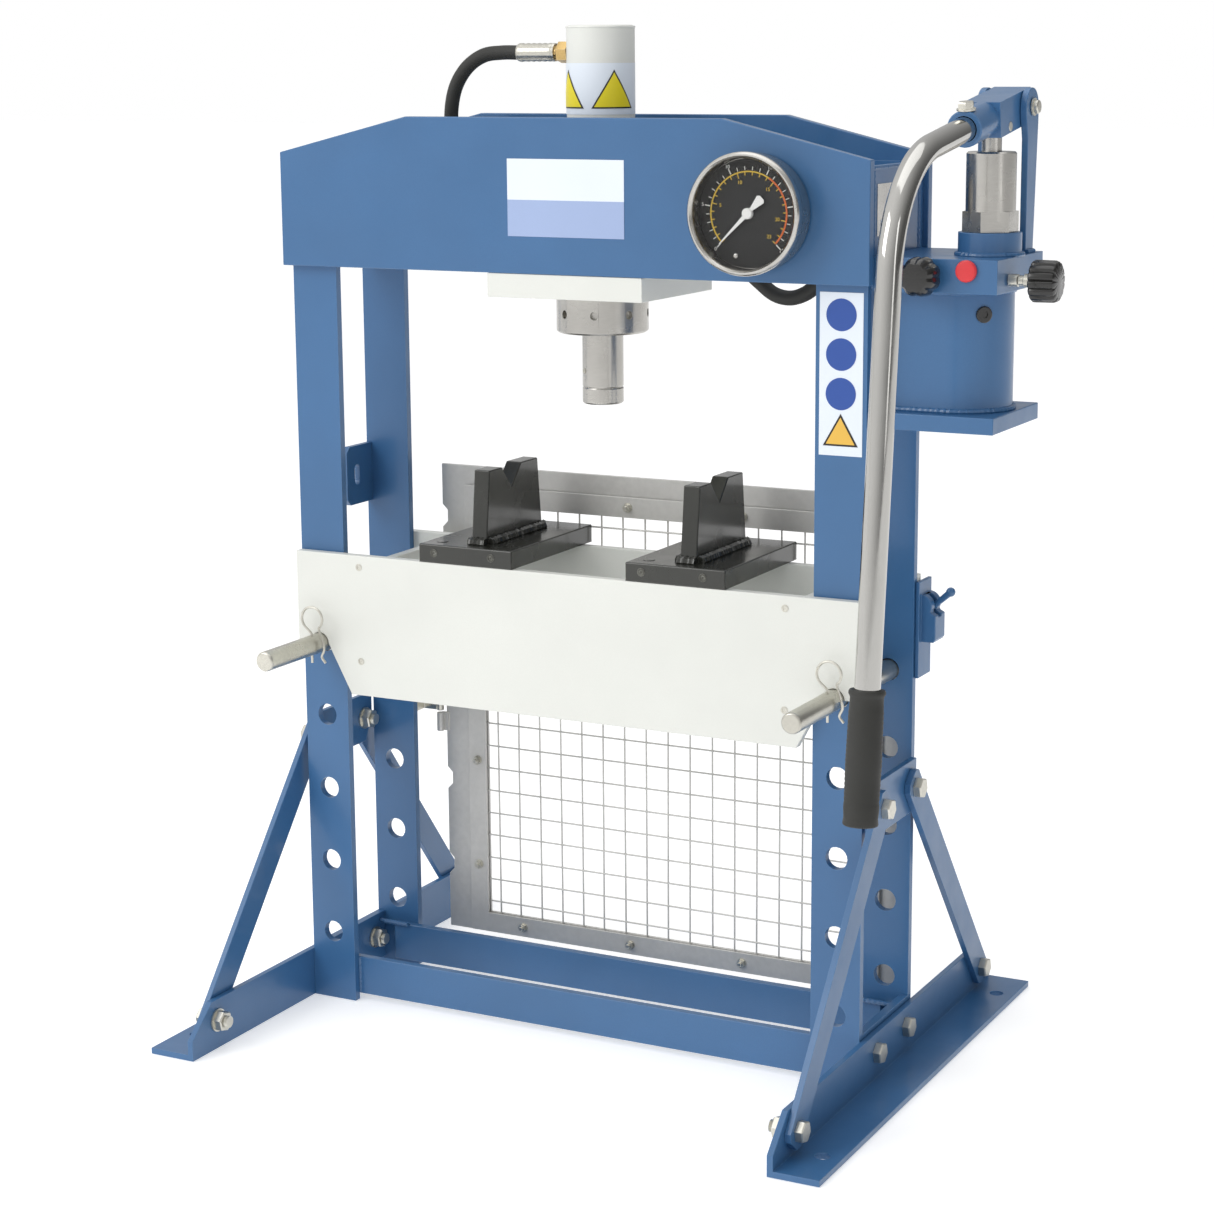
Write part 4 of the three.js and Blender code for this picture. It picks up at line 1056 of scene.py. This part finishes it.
def add_pump_details():
    welds = Build("pump_welds")
    for grow, z, radius in TANK_WELDS:
        welds.bead(tank_outline(grow, z), radius)
    welds.bead(circle(at(PLUNGER_X, 0, HEAD_TOP), BOSS_RADIUS, Z_AXIS, 60), 2.4, True)
    foot = HEAD_TOP + 0.2
    for x in (-STRAP_X, STRAP_X):
        welds.bead([at(PLUNGER_X + x, 29, foot), at(PLUNGER_X + x, 49, foot)], 2.2)
    for y in (-61, 61):
        welds.bead([at(306.5, y, 632), at(306.5, y, 643)], 2.2)
        welds.bead([at(306.5, y, 755), at(306.5, y, 781)], 2.2)
    welds.place(looks["weld"])

    cap = Build("filler_cap")
    cap.turn([(0, 0), (9.6, 0), (9.6, 2.6), (8.6, 4), (6, 4.6), (0, 4.2)], at(395, -62, 773), -Y_AXIS, 40)
    cap.place(looks["red"])
    plug = Build("sight_plug")
    out = Vector((32, -34, 0)).normalized()
    plug.turn([(0, -2), (7.4, -2), (7.4, 1.4), (6.6, 2), (3.2, 2), (3, 0.8), (0, 0.8)],
              at(TANK[1], 0, 733) + out * TANK[2] * MM, out, 36)
    plug.place(looks["plastic"])


RELEASE_AXIS = (-33, 764)
SELECTOR_AT = (357, -62.3, 768)


def fluted(count, depth, sharp):
    """Radius scale round a knob with count grooves."""
    def shape(angle):
        wave = 0.5 + 0.5 * math.cos(count * angle)
        return 1 - depth * wave ** sharp
    return shape


def add_knobs():
    side = Build("release_knob_cap")
    side.turn([(0, 0), (17, 0), (18.4, 1.2), (18.6, 3), (18.4, 20), (17.4, 22.6), (15, 23.8), (0, 24)],
              at(446, *RELEASE_AXIS), X_AXIS, 168, fluted(14, 0.10, 5))
    side.place(looks["plastic"], "release", ["release_knob"])
    stem = Build("release_stem")
    stem.turn([(0, 0), (5.6, 0), (5.6, 8), (4.6, 9), (4.6, 13), (6, 14), (6, 21.6), (0, 21.6)],
              at(424.6, *RELEASE_AXIS), X_AXIS, 28)
    stem.place(looks["zinc"], "release")
    front = Build("selector_knob_cap")
    front.turn([(0, 0.2), (6, 0.2), (6, 7.6), (16.6, 7.8), (17.9, 9.4), (18, 12), (17.2, 21), (15.6, 26),
                (12.6, 29), (8, 29.5), (0, 29.6)], at(*SELECTOR_AT), -Y_AXIS, 144, fluted(8, 0.08, 2))
    front.place(looks["plastic"], "selector", ["selector_knob"])


# ------------------------------------------------------------------ guard

# The guard's opening: left and right X, low and high Z.
WINDOW = (-187, 239, 58, 500)
STRIP_FRONT = 92
WIRE_PITCH = 25
WIRE_RADIUS = 0.95
WIRE_LEAN = 0.5
MESH_EDGE = 12
STRIP_INSET = 10.5
RIVET_BACK = 100.8


def spaced(low, high, pitch):
    count = round((high - low) / pitch)
    return [low + (high - low) * i / count for i in range(count + 1)]


def add_guard_mesh():
    left, right, bottom, top = WINDOW
    left, right = left - MESH_EDGE, right + MESH_EDGE
    bottom, top = bottom - MESH_EDGE, top + MESH_EDGE
    wires = Build("guard_wires")
    for x in spaced(left, right, WIRE_PITCH):
        lean = chance.uniform(-WIRE_LEAN, WIRE_LEAN)
        track = [at(x + lean, 96.5, bottom), at(x, 96.3, (bottom + top) / 2), at(x - lean, 96.5, top)]
        wires.sweep(smooth(track), WIRE_RADIUS, 8)
    for z in spaced(bottom, top, WIRE_PITCH):
        lean = chance.uniform(-WIRE_LEAN, WIRE_LEAN)
        track = [at(left, 95.9, z + lean), at((left + right) / 2, 95.8, z), at(right, 95.9, z - lean)]
        wires.sweep(smooth(track), WIRE_RADIUS, 8)
    wires.place(looks["galvanised"], "guard", ["guard_mesh"])


def add_guard_bolts():
    left, right, bottom, top = WINDOW
    bolts = Build("guard_bolts")
    spots = []
    for share in (0.1, 0.4, 0.7, 0.97):
        x = left + (right - left) * share
        spots += [(x, top + STRIP_INSET), (x, bottom - STRIP_INSET)]
    for share in (0.12, 0.38, 0.62, 0.88):
        z = bottom + (top - bottom) * share
        spots += [(left - STRIP_INSET, z), (right + STRIP_INSET, z)]
    for x, z in spots:
        centre = at(x, STRIP_FRONT, z)
        bolts.turn([(0, -0.4), (5, -0.4), (5, 1), (0, 1)], centre, -Y_AXIS, 24)
        bolts.hexagon(centre - Y_AXIS * 0.9 * MM, -Y_AXIS, 7.6, 4)
        bolts.turn([(0, 4), (2.4, 4), (2.4, 6.4), (1.8, 7), (0, 7)], centre, -Y_AXIS, 16)
        bolts.turn([(0, 0), (4.6, 0), (4.2, 2), (2, 2.6), (0, 2.7)], at(x, RIVET_BACK, z), Y_AXIS, 20)
    bolts.place(looks["zinc"], "guard")


# ------------------------------------------------------------------ assembly

chance = random.Random(7)
looks = make_looks()
add_camera()
add_studio()
dress_plates()
add_hose()
add_structure_bolts()
add_frame_welds()
add_panels()
add_safety_strip()
add_cylinder_label()
add_rating_plate()
add_head_details()
add_gauge()
add_clips()
add_bed_details()
add_vblock_details()
add_lever()
add_handle_details()
add_pump_details()
add_knobs()
add_guard_mesh()
add_guard_bolts()
